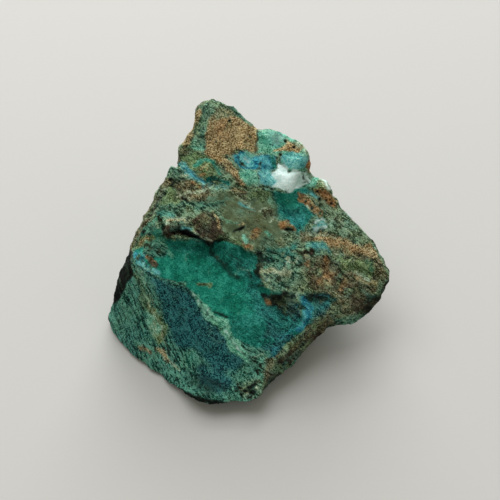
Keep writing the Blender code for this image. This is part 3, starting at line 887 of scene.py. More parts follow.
LOBE: tuple[Deposit, ...] = (
    Bed("lobe_brown", M.LIMONITE, (300, 254, 336, 254, 384, 256, 392, 274, 376, 298, 346, 310, 322, 300,
        306, 286), 0.6, 0.95, 3.0),
    Bed("lobe_mauve", M.IRONSTONE, (302, 258, 326, 258, 342, 266, 340, 284, 316, 286, 306, 276), 0.9, 0.8,
        3.0),
    Bed("lobe_green", M.MOSS, (328, 256, 346, 256, 346, 276, 332, 276), 0.9, 0.45, 2.4),
    Bed("upper_haze", M.LIMONITE, (330, 216, 344, 220, 352, 232, 334, 232), 0.9, 0.4, 2.0),
    Vein("tan_ground", M.LIMONITE, 3.4, (306, 236, 324, 240, 344, 246, 366, 250, 382, 258), 0.7, 0.8, 2.4),
    Vein("tan_band", M.SAND, 2.5, (318, 238, 334, 243, 350, 247, 372, 251), 0.9, 0.95, 2.0),
    Vein("tan_warm", M.RUST, 1.2, (330, 241, 352, 249, 366, 251), 1.0, 0.5, 1.6),
    Vein("band_line", M.CREAM, 0.5, (303, 236, 308, 233, 320, 234, 334, 238), 0.5, 0.85),
    Vein("band_line_low", M.CREAM, 0.5, (322, 240, 330, 247, 338, 254), 0.5, 0.8),
    Vein("haze_lines", M.CREAM, 0.3, (328, 210, 344, 226, 362, 240), 0.9, 0.6),
    Vein("haze_line_long", M.CREAM, 0.25, (322, 206, 338, 224, 352, 238, 372, 252), 0.7, 0.45, 0.5),
    Vein("haze_line_dark", M.BLACK, 0.25, (334, 212, 350, 230, 368, 244), 0.7, 0.4, 0.5),
    Vein("haze_line_low", M.CREAM, 0.25, (330, 226, 346, 238, 364, 246), 0.8, 0.4, 0.5),
    Bed("turquoise_patch", M.MINT, (304, 241, 318, 240, 330, 247, 336, 257, 322, 258, 308, 250), 0.8, 0.7,
        1.4),
    Bed("turquoise_blue", M.SKY, (308, 244, 322, 244, 332, 252, 320, 256), 0.9, 0.6, 1.6),
    Bed("sea_patch", M.TEAL, (268, 246, 298, 242, 306, 254, 286, 266, 264, 262), 0.9, 0.7, 2.0),
    Bed("ripple_ground", M.MOSS, (260, 252, 300, 252, 304, 262, 296, 284, 276, 288, 262, 276), 0.8, 0.5),
    # Painted shadow: black along the step where the slab stands over the slope, with a short arm.
    Vein("black_step", M.BLACK, 1.6, (257, 253, 258, 264, 257, 274), 0.9, 0.9),
    Vein("black_step_arm", M.BLACK, 0.7, (260, 262, 272, 264), 0.9, 0.8),
    Vein("cream_streak", M.CREAM, 1.3, (260, 270, 270, 272, 278, 270, 288, 272), 0.8),
    Vein("cream_streak_blue", M.CHALK, 0.7, (258, 276, 264, 277, 270, 280), 0.9, 0.35),
    Vein("cream_curl", M.CREAM, 0.5, (282, 267, 288, 262, 296, 264, 300, 259), 0.8, 0.8),
    Vein("mint_curl", M.MINT, 0.6, (258, 267, 268, 269), 0.7, 0.8),
    Vein("cream_low", M.CREAM, 0.4, (276, 280, 288, 276, 298, 279), 0.8, 0.6),
    Vein("cream_high", M.CREAM, 0.6, (292, 252, 298, 250), 0.7, 0.7),
    Specks("mix_gaps", M.BLACK, 0.9, (276, 252, 270, 258, 284, 262, 292, 268, 280, 276, 268, 266, 290, 284,
        286, 293, 300, 268), 0.9, 0.8),
    Specks("mix_sparks", M.CREAM, 0.8, (262, 268, 272, 269, 280, 271, 290, 261, 298, 255, 296, 290, 300, 296,
        284, 256), 0.9, 0.8),
    Vein("brown_bar", M.IRONSTONE, 1.3, (299, 253, 312, 251), 0.7, 0.95),
    Vein("tooth", M.CREAM, 0.9, (306, 255, 309, 260), 0.4),
    Specks("mauve_spots", M.RUST, 1.5, (306, 264, 328, 263), 0.8, 0.5),
    Vein("rust_blot", M.RUST, 2.0, (321, 283, 329, 281), 0.9, 0.55, 1.4),
    Vein("rust_blot_right", M.RUST, 2.2, (344, 286, 352, 289), 0.9, 0.4, 1.4),
    Bed("right_brown", M.IRONSTONE, (343, 284, 352, 282, 366, 288, 374, 298, 350, 302, 342, 296), 0.9, 0.75,
        2.4),
    Bed("lobe_warmth", M.RUST, (300, 258, 330, 256, 348, 266, 344, 280, 320, 284, 304, 274), 1.0, 0.3, 4.0),
    Bed("right_warmth", M.RUST, (346, 252, 374, 256, 384, 268, 366, 276, 348, 268), 1.0, 0.25, 3.0),
    Bed("right_olive", M.OLIVE, (336, 256, 362, 260, 380, 266, 374, 276, 346, 270), 0.9, 0.8, 1.8),
    Vein("sea_spot", M.EMERALD, 1.6, (369, 261, 374, 270), 0.7, 0.45),
    Specks("lobe_pits", M.BLACK, 0.7, (374, 274, 348, 236, 354, 240, 340, 262), 0.5, 0.9),
    Vein("tan_streak", M.OCHRE, 1.4, (354, 274, 366, 280, 378, 285), 0.7, 0.6),
    Vein("streak_line", M.CREAM, 0.4, (356, 273, 370, 279), 0.6, 0.8),
    Vein("lobe_rim", M.GREENSTONE, 1.0, (337, 204, 356, 224, 382, 254, 391, 274), 0.3, 0.8),
    Vein("lobe_edge", M.IRONSTONE, 0.5, (340, 207, 358, 226, 376, 246, 382, 254), 0.2, 0.6),
    Vein("lined_pale", M.CREAM, 0.35, (312, 288, 330, 296, 350, 298), 0.9, 0.6),
    Vein("lined_pale_low", M.CREAM, 0.3, (324, 300, 340, 306, 356, 302), 0.9, 0.5),
    Vein("cream_knot", M.CREAM, 0.7, (294, 298, 300, 294, 306, 286), 0.9, 0.45),
    # Painted shade: black over the overhanging underside of the lobe's lip and tip.
    Bed("lip_dark", M.BLACK, (346, 304, 362, 296, 380, 292, 390, 278, 396, 282, 378, 306, 364, 316, 350, 312),
        0.6, 0.85),
    Bed("lip_brown", M.IRONSTONE, (350, 300, 364, 296, 374, 302, 360, 312, 350, 308), 0.7, 0.6),
    Vein("tip_pale", M.GREENSTONE, 0.6, (376, 292, 386, 281), 0.5, 0.4),
    Bed("lip_olive", M.LIMONITE, (314, 306, 346, 298, 350, 312, 330, 322, 312, 324), 0.7, 0.6),
    Vein("lip_line", M.CREAM, 0.35, (320, 318, 338, 317, 356, 311), 0.5, 0.7),
    Bed("lip_under", M.MOSS, (334, 318, 366, 314, 372, 322, 340, 330), 0.4, 0.6),
)

SLOPE: tuple[Deposit, ...] = (
    Bed("emerald_slope", M.EMERALD, (130, 262, 134, 248, 164, 240, 190, 240, 212, 247, 222, 239, 240, 247,
        256, 258, 262, 284, 280, 298, 306, 322, 300, 332, 266, 354, 247, 357, 226, 335, 206, 309, 190, 292,
        182, 285, 165, 282, 150, 273), 0.3, 1.0, 1.4),
    Bed("slope_top", M.TEAL, (164, 240, 190, 240, 212, 247, 222, 239, 240, 247, 256, 258, 258, 292, 238, 284,
        224, 268, 206, 259, 190, 256, 176, 254), 1.0, 0.6, 2.4),
    Bed("slope_shade", M.SLATE, (228, 250, 252, 258, 256, 286, 244, 282, 232, 268), 1.0, 0.4, 2.4),
    Vein("step_shadow", M.BLACK, 1.8, (256, 250, 258, 262, 257, 276, 264, 288), 0.9, 0.6, 1.4),
    Bed("slope_foot", M.TEAL, (222, 318, 262, 308, 266, 352, 248, 356, 236, 342), 0.9, 0.6, 3.0),
    Bed("slope_right", M.TEAL, (246, 268, 262, 282, 284, 300, 306, 322, 300, 332, 280, 345, 262, 350,
        262, 330, 254, 306), 0.9, 0.85, 2.6),
    Bed("slope_grey", M.SLATE, (262, 304, 286, 312, 296, 324, 280, 340, 262, 336), 0.9, 0.8, 2.6),
    Vein("slope_mint", M.MINT, 1.6, (160, 243, 172, 256), 0.9, 0.5),
    Vein("slope_mint_low", M.MINT, 0.6, (186, 256, 187, 264), 0.9, 0.4),
    Vein("slope_mint_mid", M.MINT, 0.6, (209, 268, 210, 275), 0.9, 0.35),
    Specks("slope_crumbs", M.MINT, 0.6, (181, 238, 222, 302, 236, 296, 240, 312, 250, 322, 252, 300), 0.9,
        0.45),
    Bed("moss_corner", M.MOSS, (142, 246, 156, 243, 167, 249, 164, 258, 150, 257, 144, 254), 0.8, 0.9, 1.4),
    Vein("moss_black", M.BLACK, 1.1, (146, 247, 157, 250), 1.1, 0.85),
    Specks("moss_holes", M.BLACK, 0.8, (161, 253, 152, 244), 0.9, 0.8),
    Vein("moss_mint", M.MINT, 0.6, (148, 244, 160, 247), 1.0, 0.6),
    Bed("sky_corner", M.SKY, (130, 252, 138, 249, 146, 252, 146, 258, 140, 265, 133, 263), 0.6, 0.7, 1.2),
    Vein("sky_corner_deep", M.AZURE, 1.8, (135, 254, 140, 258), 0.5, 0.6),
    Specks("sky_holes", M.BLACK, 0.9, (137, 257, 139, 266, 142, 268), 0.5, 0.8),
    Vein("sky_trail", M.SKY, 1.6, (141, 262, 148, 270, 157, 273), 0.5),
    Specks("sky_gaps", M.MOSS, 0.9, (134, 261, 141, 258, 145, 264, 150, 268, 137, 253, 154, 275), 0.9, 0.8),
    Vein("trail_white", M.CHALK, 0.8, (144, 268, 152, 273), 0.6, 0.55),
    Vein("trail_mint", M.MINT, 1.1, (143, 266, 152, 272), 0.6, 0.5),
    Vein("rust_chip", M.RUST, 1.0, (147, 256, 151, 259, 154, 263), 0.3, 0.8),
    Vein("rust_chip_dark", M.IRONSTONE, 1.0, (151, 262, 156, 266), 0.4, 0.9),
    Vein("olive_fleck", M.OLIVE, 0.8, (198, 285, 208, 286), 0.7, 0.7),
    Vein("olive_fleck_hole", M.BLACK, 0.4, (200, 285, 205, 285), 0.4),
    Vein("crest_line", M.MINT, 0.8, (167, 281, 174, 284, 185, 284), 0.2, 0.95),
    Vein("fissure", M.BLACK, 1.4, (212, 250, 217, 257, 222, 263, 228, 271, 236, 278), 0.6, 0.45, 1.3),
    Vein("fissure_branch", M.BLACK, 0.7, (238, 262, 247, 270, 251, 282), 0.7, 0.4),
    Vein("fissure_top", M.BLACK, 0.6, (222, 246, 232, 255, 244, 261), 0.7, 0.35),
    Vein("fissure_mint", M.MINT, 0.5, (234, 276, 241, 269, 251, 270), 0.8, 0.6),
    Bed("moss_pool", M.TEAL, (262, 304, 302, 304, 300, 322, 284, 332, 266, 322), 0.9, 0.4, 2.6),
    Bed("dark_pool", M.BLACK, (264, 291, 280, 288, 296, 292, 304, 302, 302, 316, 288, 317, 274, 311,
        268, 304), 0.8, 0.95, 2.2),
    Vein("pool_curl", M.MINT, 0.5, (282, 312, 292, 316), 0.9, 0.5),
    Specks("pool_crumbs", M.CREAM, 0.6, (286, 306, 292, 298), 0.8, 0.7),
    Vein("pool_rust", M.RUST, 0.9, (267, 297, 269, 303), 0.5, 0.45, 0.9),
    Vein("pool_hole", M.BLACK, 0.9, (265, 295, 271, 295), 0.5),
    Vein("sea_hook", M.EMERALD, 1.4, (264, 287, 272, 290, 279, 289), 0.8, 0.5),
    Vein("slot", M.BLACK, 0.9, (215, 312, 220, 315, 224, 318), 0.4, 0.6),
    Vein("slot_tail", M.BLACK, 0.4, (222, 316, 230, 321, 238, 326), 0.6, 0.35),
    Vein("slot_low", M.BLACK, 0.8, (240, 347, 253, 352), 0.6, 0.7),
    Bed("fan_root", M.SLATE, (290, 300, 303, 303, 303, 316, 294, 323, 286, 312), 0.9, 0.75, 2.0),
    Bed("slope_dim", M.SLATE, (238, 288, 260, 286, 266, 298, 262, 316, 244, 308), 0.9, 0.35, 3.0),
    Bed("azure_fan", M.TEAL, (302, 296, 312, 291, 330, 296, 339, 302, 330, 308, 318, 312, 310, 320, 302, 331,
        297, 328, 303, 312), 0.8, 0.75, 1.6),
    Vein("fan_azure", M.AZURE, 1.6, (306, 298, 308, 308, 306, 318, 300, 327), 0.8, 0.8, 1.2),
    Vein("fan_azure_right", M.AZURE, 1.0, (316, 297, 328, 299, 334, 303), 0.8, 0.7, 1.0),
    Bed("fan_ink", M.BLACK, (308, 293, 324, 295, 334, 301, 318, 306, 310, 304), 0.8, 0.7, 1.6),
    Vein("fan_sky", M.SKY, 0.5, (303, 300, 307, 308, 304, 318, 296, 327), 0.8, 0.55),
    Vein("fan_sky_right", M.SKY, 0.4, (320, 298, 330, 301), 0.8, 0.6),
    Bed("fan_shade", M.SLATE, (312, 306, 334, 302, 330, 312, 316, 320, 306, 326), 0.8, 0.75, 1.6),
    Vein("edge_shade", M.SLATE, 2.0, (262, 353, 272, 348, 284, 338), 0.8, 0.8, 1.6),
    Vein("edge_azure", M.AZURE, 1.0, (298, 326, 290, 331, 280, 338), 0.6, 0.4),
    Vein("edge_sky", M.SKY, 0.45, (287, 333, 282, 337, 276, 342), 0.5, 0.45),
)

WALL: tuple[Deposit, ...] = (
    Bed("moss_wall", M.MOSS, (126, 256, 134, 264, 150, 274, 184, 286, 226, 336, 262, 350, 266, 364, 262, 384,
        252, 410, 196, 410, 130, 366, 100, 340, 100, 312, 108, 292, 120, 270), 0.2),
    Bed("slate_wall", M.SLATE, (148, 274, 165, 282, 182, 286, 190, 293, 206, 310, 226, 336, 246, 358,
        236, 372, 212, 366, 196, 350, 178, 348, 168, 336, 162, 308, 156, 290), 0.6, 0.95, 2.4),
    Bed("slate_low", M.SLATE, (194, 366, 222, 366, 234, 384, 222, 398, 198, 384), 0.9, 0.85, 3.0),
    Bed("slate_left", M.SLATE, (112, 326, 134, 322, 142, 344, 134, 356, 112, 340), 0.9, 0.4, 2.6),
    Bed("wall_green", M.GREENSTONE, (202, 318, 212, 322, 224, 344, 216, 350, 206, 336), 0.9, 0.15, 2.4),
    Bed("wall_emerald", M.EMERALD, (180, 352, 194, 350, 198, 364, 186, 368), 0.9, 0.4, 2.4),
    Bed("wall_blue", M.AZURE, (148, 274, 164, 281, 166, 300, 156, 300), 0.9, 0.3, 2.0),
    Bed("wall_brown", M.IRONSTONE, (170, 288, 182, 290, 184, 302, 172, 304), 0.9, 0.18, 2.0),
    # Painted shade: black over the steep left face, which lies in shade.
    Bed("wall_black", M.BLACK, (120, 248, 131, 250, 133, 258, 134, 266, 134, 274, 128, 284, 124, 290,
        120, 298, 113, 306, 106, 306, 108, 286), 0.5, 1.0, 0.8),
    Vein("black_scratch", M.GREENSTONE, 0.3, (124, 262, 128, 271, 127, 280), 0.5, 0.45),
    Vein("black_scratch_low", M.GREENSTONE, 0.25, (118, 276, 121, 290), 0.5, 0.6),
    Vein("crest_left", M.GREENSTONE, 0.4, (133, 266, 141, 273, 146, 284, 150, 300), 0.5, 0.7),
    Vein("olive_streak", M.OLIVE, 2.0, (137, 276, 142, 292, 146, 308), 0.8, 0.45),
    Vein("left_crumbs", M.MINT, 0.8, (112, 314, 116, 326, 124, 338), 1.2, 0.45),
    Vein("left_crumbs_high", M.MINT, 0.5, (118, 300, 128, 292), 1.2, 0.35),
    Bed("yellow_lens", M.OLIVE, (147, 306, 157, 308, 163, 322, 166, 342, 160, 344, 152, 332, 146, 320), 0.7,
        0.95, 1.6),
    Bed("yellow_core", M.MINT, (145, 309, 157, 311, 162, 330, 155, 339, 148, 326), 0.9, 0.55, 1.6),
    Vein("lens_left", M.MINT, 1.4, (146, 311, 149, 322), 0.9, 0.55, 1.4),
    Vein("wall_fibre", M.CREAM, 0.2, (136, 276, 146, 300, 160, 330, 176, 362), 0.5, 0.45, 0.5),
    Vein("wall_fibre_low", M.MINT, 0.2, (120, 318, 136, 340, 160, 366, 188, 390), 0.8, 0.35, 0.6),
    Vein("wall_fibre_right", M.MINT, 0.2, (170, 320, 190, 352, 214, 384), 0.8, 0.3, 0.6),
    Vein("wall_gap", M.BLACK, 0.25, (140, 280, 149, 302, 163, 334, 171, 356), 0.5, 0.5, 0.5),
    Vein("wall_gap_left", M.BLACK, 0.3, (126, 290, 134, 318, 150, 346), 0.8, 0.4, 0.6),
    Vein("wall_gap_right", M.BLACK, 0.25, (196, 366, 212, 382, 232, 396), 0.8, 0.5, 0.6),
    Vein("lens_lines", M.CREAM, 0.3, (150, 298, 156, 316, 162, 334, 168, 350), 0.6, 0.8),
    Vein("lens_lines_left", M.CREAM, 0.25, (146, 300, 151, 318, 158, 336), 0.8, 0.7),
    Vein("foot_rust", M.RUST, 1.1, (141, 349, 147, 352), 0.8, 0.45),
    Bed("foot_tan", M.SAND, (154, 347, 160, 347, 168, 355, 170, 362, 162, 359), 0.8, 0.7, 1.2),
    Vein("foot_tan_rust", M.RUST, 0.8, (160, 352, 168, 360), 0.9, 0.45),
    Vein("foot_black", M.BLACK, 0.5, (168, 346, 169, 355), 0.6, 0.8),
    Vein("foot_cream", M.CREAM, 0.4, (168, 358, 174, 366, 178, 372), 0.4, 0.9),
    Vein("foot_cream_left", M.CREAM, 0.25, (160, 350, 167, 364), 0.5, 0.7),
    # Darker towards the foot of the wall.
    Bed("wall_low_dark", M.BLACK, (184, 370, 212, 372, 226, 390, 206, 398, 188, 388), 1.0, 0.45, 3.0),
    Bed("mint_band", M.MINT, (190, 292, 200, 295, 208, 302, 214, 312, 218, 321, 212, 325, 204, 317, 196, 306),
        0.8, 0.95, 1.0),
    Bed("band_white", M.CHALK, (192, 294, 200, 298, 211, 314, 205, 315, 196, 304), 1.1, 0.3, 1.0),
    Vein("band_neck", M.MINT, 1.5, (215, 320, 221, 324, 228, 330), 0.7, 0.9),
    Bed("mint_band_low", M.MINT, (217, 324, 228, 328, 240, 343, 250, 353, 246, 363, 232, 353, 222, 338), 0.7,
        1.0, 1.0),
    Vein("band_low_white", M.CHALK, 0.8, (226, 332, 236, 346, 244, 355), 1.0, 0.5),
    Vein("band_foot", M.MINT, 0.9, (235, 353, 244, 360), 0.8, 0.6),
    Bed("mint_corner", M.MINT, (244, 356, 252, 353, 266, 352, 268, 364, 264, 386, 257, 388, 256, 370), 0.9,
        0.35, 1.6),
    Vein("corner_white", M.CREAM, 0.7, (250, 357, 264, 354), 0.9, 0.4),
    Specks("band_gaps", M.MOSS, 0.9, (195, 297, 202, 303, 206, 311, 213, 317, 222, 329, 229, 337, 235, 347,
        243, 353, 199, 308), 0.9, 0.55),
    Specks("band_sparks", M.CHALK, 0.6, (192, 294, 198, 300, 209, 308, 226, 333, 238, 349), 0.9, 0.7),
    Specks("corner_holes", M.BLACK, 0.8, (254, 361, 261, 366, 258, 373, 264, 358, 256, 382), 0.8, 0.9),
    Bed("toe_grey", M.GREENSTONE, (236, 382, 246, 376, 258, 378, 262, 390, 257, 402, 246, 402), 0.8, 0.55,
        1.6),
    Bed("toe_black", M.BLACK, (237, 383, 248, 380, 258, 380, 254, 397, 244, 394), 1.3, 0.55, 1.2),
    Specks("toe_pits", M.BLACK, 1.1, (240, 384, 247, 389, 252, 384, 244, 396, 254, 392, 250, 399, 238, 391),
        0.9, 0.85),
    Specks("toe_crumbs", M.CREAM, 0.7, (243, 387, 250, 394, 256, 388, 247, 381), 0.9, 0.7),
    Vein("toe_lip", M.MINT, 0.8, (228, 399, 242, 402, 254, 402), 0.6, 0.45),
    # Painted shadow: a black band along the bottom edge, where the lower rim meets the table.
    Vein("underside", M.BLACK, 2.0, (178, 393, 192, 399, 208, 403, 224, 406, 242, 408), 0.3, 1.0, 1.0),
    # Dark brown rock on the side strip, partly painted shade of its undercut face.
    Bed("side_strip_rock_and_shade", M.IRONSTONE, (264, 382, 276, 360, 290, 347, 304, 336, 330, 318, 340, 322, 312, 348,
        288, 370, 268, 396), 0.4, 0.9),
    Bed("strip_moss", M.MOSS, (262, 392, 272, 372, 290, 356, 312, 342, 300, 356, 280, 376, 268, 396), 0.9,
        0.4),
    # Painted shade: black along the low, undercut part of the side strip.
    Bed("strip_black", M.BLACK, (264, 392, 270, 372, 284, 360, 296, 352, 284, 372, 268, 398), 0.9, 0.5),
    Vein("strip_lines", M.LIMONITE, 1.0, (296, 346, 314, 332, 332, 321), 0.8, 0.7),
    Vein("strip_navy", M.SLATE, 1.4, (268, 356, 280, 346, 292, 336), 0.6, 0.95),
    Vein("strip_azure", M.AZURE, 1.3, (273, 352, 277, 360), 0.8, 0.4),
    Vein("corner_teal", M.MINT, 1.3, (261, 361, 266, 356), 0.8, 0.45),
)

STAINS: tuple[Deposit, ...] = (
    Stain("green_stain", M.MOSS, 3.6, 61.0, 0.10, 0.2),
    Stain("brown_stain", M.LIMONITE, 4.2, 62.0, 0.14, 0.2),
    Stain("olive_stain", M.OLIVE, 3.0, 63.0, 0.14, 0.2),
)

DEPOSITS: tuple[Deposit, ...] = GEOLOGY + SLAB + KNOB + LOBE + SLOPE + WALL + STAINS

FORMS: tuple[Relief, ...] = (
    Ledge("brow", (163, 222, 166, 234, 173, 231, 182, 229, 188, 232, 196, 238, 204, 242, 212, 246, 219, 239),
        1.2, 3.0, 0.5),
    Ledge("slope_brow", (227, 237, 240, 247, 256, 257, 261, 283, 280, 297, 304, 321), 0.6, 2.4, 0.6),
    Ledge("knob_foot", (178, 160, 192, 174, 206, 186, 228, 189, 262, 188, 292, 191, 306, 187), -0.5, 2.0,
        0.4),
    Ledge("band_edge", (190, 293, 206, 310, 226, 335, 247, 357), 0.35, 2.0, 0.5),
    Crack("brow_crack", (163, 224, 168, 237, 174, 232, 182, 230, 188, 234, 196, 239, 204, 243, 212, 247,
        220, 239), 0.7, 0.7, 0.5),
    Crack("fissure", (212, 250, 217, 257, 222, 263, 228, 271, 236, 278), 0.9, 0.16, 0.6),
    Crack("fissure_top", (222, 244, 232, 254, 244, 260), 0.6, 0.2, 0.7),
    Crack("slot", (213, 312, 220, 315, 228, 320), 0.7, 0.14, 0.5),
    Crack("slot_low", (240, 347, 253, 352), 0.6, 0.15),
    Crack("slit", (234, 231, 239, 230, 243, 227), 0.5, 0.25),
    Crack("face_seam", (258, 131, 257, 140, 256, 152), 0.5, 0.35),
    Crack("dome_crease", (206, 181, 216, 180, 228, 183), 0.8, 0.45, 0.3),
    Crack("lens_seam", (281, 155, 281, 163, 288, 170, 297, 172, 306, 167), 0.5, 0.3),
    Lump("dome", (207, 169), 3.2, 0.6),
    Lump("iron_lump", (202, 222, 208, 229), 3.4, 0.9, 0.6),
    Lump("iron_dent", (201, 228, 206, 225), 1.0, -0.4, 0.5),
    Lump("brow_crust", (170, 221, 184, 221), 1.5, 0.5, 0.5),
    Lump("brown_block", (184, 183, 202, 186, 200, 198), 1.6, 0.4, 0.8),
    Lump("lens", (295, 162), 3.2, 0.4, 0.1),
    Lump("chalk", (278, 177, 292, 180), 2.0, 0.3, 0.6),
    Lump("chalk_foot", (281, 189, 292, 191), 3.0, 1.3, 0.5),
    Lump("crown_swell", (303, 148, 307, 157), 3.5, 0.8, 0.5),
    Lump("lip_swell", (374, 300, 360, 312, 345, 320), 4.0, 0.7, 0.5),
    Lump("shoulder_swell", (168, 166, 176, 150), 3.0, 0.8, 0.5),
    Lump("rust_lump", (282, 223, 292, 226), 1.3, 0.4, 0.3),
    Lump("rust_hole", (288, 228, 293, 229), 0.8, -0.7),
    Lump("lump_low", (268, 298, 270, 303), 1.0, 0.3, 0.4),
    Lump("face_pit", (230, 121), 0.6, -0.4, 0.1),
    Lump("shoulder_pit", (165, 194), 0.6, -0.4, 0.2),
    Lump("rust_pit_high", (316, 192, 320, 193), 0.8, -0.5),
    Lump("rust_pit_low", (321, 205), 0.8, -0.5),
    Lump("crown_pit_left", (285, 141), 0.6, -0.35, 0.1),
    Lump("crown_pit_right", (294, 147), 0.6, -0.35, 0.1),
    Lump("lobe_pit", (374, 274), 0.7, -0.5),
    Lump("corner_pits", (254, 361, 258, 372), 0.6, -0.3, 0.8),
)


@dataclass(frozen=True)
class Bedding:
    """The way the stone's grain runs: patterns are drawn out along it."""

    along: Triple
    squeeze: float

    def stretch(self, points: np.ndarray) -> np.ndarray:
        """Return the places squeezed along the bedding, so that patterns on them look drawn out."""
        axis = np.array(self.along) / np.linalg.norm(self.along)
        return points - (1.0 - self.squeeze) * (points @ axis)[:, None] * axis

    def turn(self) -> Triple:
        """Return the turn that lays the first axis along the bedding."""
        return tuple(Vector(self.along).to_track_quat("X", "Z").to_euler())


SLAB_BEDDING = Bedding((0.82, -0.44, -0.37), 0.26)
WALL_BEDDING = Bedding((0.45, -0.64, -0.64), 0.16)


@dataclass
class StoneSkin:
    """The fine skin of the stone: its mesh, its relief and its mineral map."""

    pitch: float = 0.000366
    fine_turns: int = 6
    smooth_turns: int = 10
    level_turns: int = 14
    broad_turns: int = 40
    swell_mm: float = 0.26
    chip_mm: float = 0.45
    flute_mm: float = 0.22
    swell_size_mm: float = 4.5
    chip_size_mm: float = 2.6
    small_chip_size_mm: float = 1.3
    flute_size_mm: float = 1.1
    grain_size_mm: float = 0.9
    hollow_mm: float = 0.35
    foot_mm: float = 0.25
    foot_swell_mm: tuple[tuple[float, float], ...] = (
        (-33.0, 0.2), (-26.0, 1.7), (-16.0, 2.5), (-8.0, 3.2), (-1.0, 0.9), (5.0, 0.0),
    )
    foot_swell_front_mm: float = 33.2
    toe_from_mm: float = -24.0
    toe_run_mm: float = 6.0
    toe_height_mm: float = 9.0
    toe_lift_mm: float = 3.0
    toe_reach_mm: float = 1.5
    rim_lift_mm: float = 0.35
    rim_height_mm: float = 1.5
    peak_from_mm: float = 34.0
    peak_run_mm: float = 6.0
    peak_lift_mm: float = 0.9

    def from_node(self, node: bpy.types.Object) -> bpy.types.Object:
        """Copy the solid into a fine, even skin.

        Args:
            node: The solid that the skin stands for.

        Returns:
            The new object with an even mesh of quads.
        """
        stone = bpy.data.objects.new("chrysocolla_skin", node.data.copy())
        bpy.context.scene.collection.objects.link(stone)
        remesh = stone.modifiers.new("skin", "REMESH")
        remesh.mode = "VOXEL"
        remesh.voxel_size = self.pitch
        graph = bpy.context.evaluated_depsgraph_get()
        fine = bpy.data.meshes.new_from_object(stone.evaluated_get(graph))
        stone.modifiers.clear()
        stone.data = fine
        fine.name = "chrysocolla_skin"
        return stone

    def write(self, mesh: bpy.types.Mesh, points: np.ndarray) -> None:
        """Move the mesh's points to these places, in millimetres."""
        mesh.vertices.foreach_set("co", (points * MM).ravel())
        mesh.update()

    def relax(self, mesh: bpy.types.Mesh, values: np.ndarray, turns: int) -> np.ndarray:
        """Even out values over the skin.

        Args:
            mesh: The skin.
            values: One row for each point.
            turns: How often each value moves half way to the mean of its neighbours.

        Returns:
            The evened values.
        """
        ends = np.empty(2 * len(mesh.edges), dtype=np.int64)
        mesh.edges.foreach_get("vertices", ends)
        first, second = ends[0::2], ends[1::2]
        count = len(values)
        links = np.bincount(ends, minlength=count)
        evened = values.astype(float)
        for _ in range(turns):
            total = np.zeros_like(evened)
            for column in range(evened.shape[1]):
                total[:, column] += np.bincount(first, evened[second, column], count)
                total[:, column] += np.bincount(second, evened[first, column], count)
            evened = 0.5 * evened + 0.5 * total / links[:, None]
        return evened

    def soften(self, mesh: bpy.types.Mesh) -> None:
        """Round off the facets of the solid without shrinking it, but keep the foot flat.

        Args:
            mesh: The skin.
        """
        points = read_points(mesh, "co") / MM
        evened = self.relax(mesh, points, self.smooth_turns)
        evened += self.relax(mesh, points - evened, self.smooth_turns)
        foot = points[:, 2] < self.foot_mm
        evened[foot] = points[foot]
        self.write(mesh, evened)

    def set_foot(self, mesh: bpy.types.Mesh) -> None:
        """Swell the lower walls a little, raise the toe clear of the table and draw out the peak.

        Args:
            mesh: The skin, already softened.
        """
        points = read_points(mesh, "co") / MM
        broad = self.relax(mesh, read_points(mesh, "normal"), self.broad_turns)
        flat = broad[:, :2] / np.maximum(np.linalg.norm(broad[:, :2], axis=1), 0.3)[:, None]
        height = points[:, 2].copy()
        swell = soft_step(height + 0.2) * (1.0 - soft_step((height - 1.0) / 7.0))
        swell *= below(flat[:, 1], 0.6, 1.0) * soft_step((points[:, 1] + self.foot_swell_front_mm) / 5.0)
        swell *= np.interp(points[:, 0], *zip(*self.foot_swell_mm))
        points[:, :2] += swell[:, None] * flat
        beyond = below(points[:, 1], self.toe_from_mm, self.toe_run_mm)
        beyond *= 1.0 - soft_step(height / self.toe_height_mm)
        points[:, 2] += self.toe_lift_mm * beyond
        points[:, 1] -= self.toe_reach_mm * beyond
        uneven = np.clip(0.5 + 0.9 * ripple(points, 6.0, 41.0), 0.0, 1.0)
        points[:, 2] += self.peak_lift_mm * soft_step((height - self.peak_from_mm) / self.peak_run_mm)
        rim = soft_step((broad[:, 2] + 0.97) / 0.4) * (1.0 - soft_step(height / self.rim_height_mm))
        points[:, 2] += self.rim_lift_mm * rim * uneven
        self.write(mesh, points)

    def paint(self, survey: Survey) -> dict[Mineral, np.ndarray]:
        """Lay the deposits over each other.

        Args:
            survey: The skin's survey.

        Returns:
            The share of each mineral at each point.
        """
        names = list(Mineral)
        shares = np.zeros((len(survey.points), len(names)))
        shares[:, 0] = 1.0
        rugged = np.array([FINISHES[name].rugged for name in names])
        for deposit in DEPOSITS:
            survey.rough = soft_step((shares @ rugged - 0.3) / 0.4)
            cover = deposit.cover(survey)[:, None]
            shares *= 1.0 - cover
            shares[:, names.index(deposit.mineral)] += cover[:, 0]
        return {name: shares[:, index] for index, name in enumerate(names)}

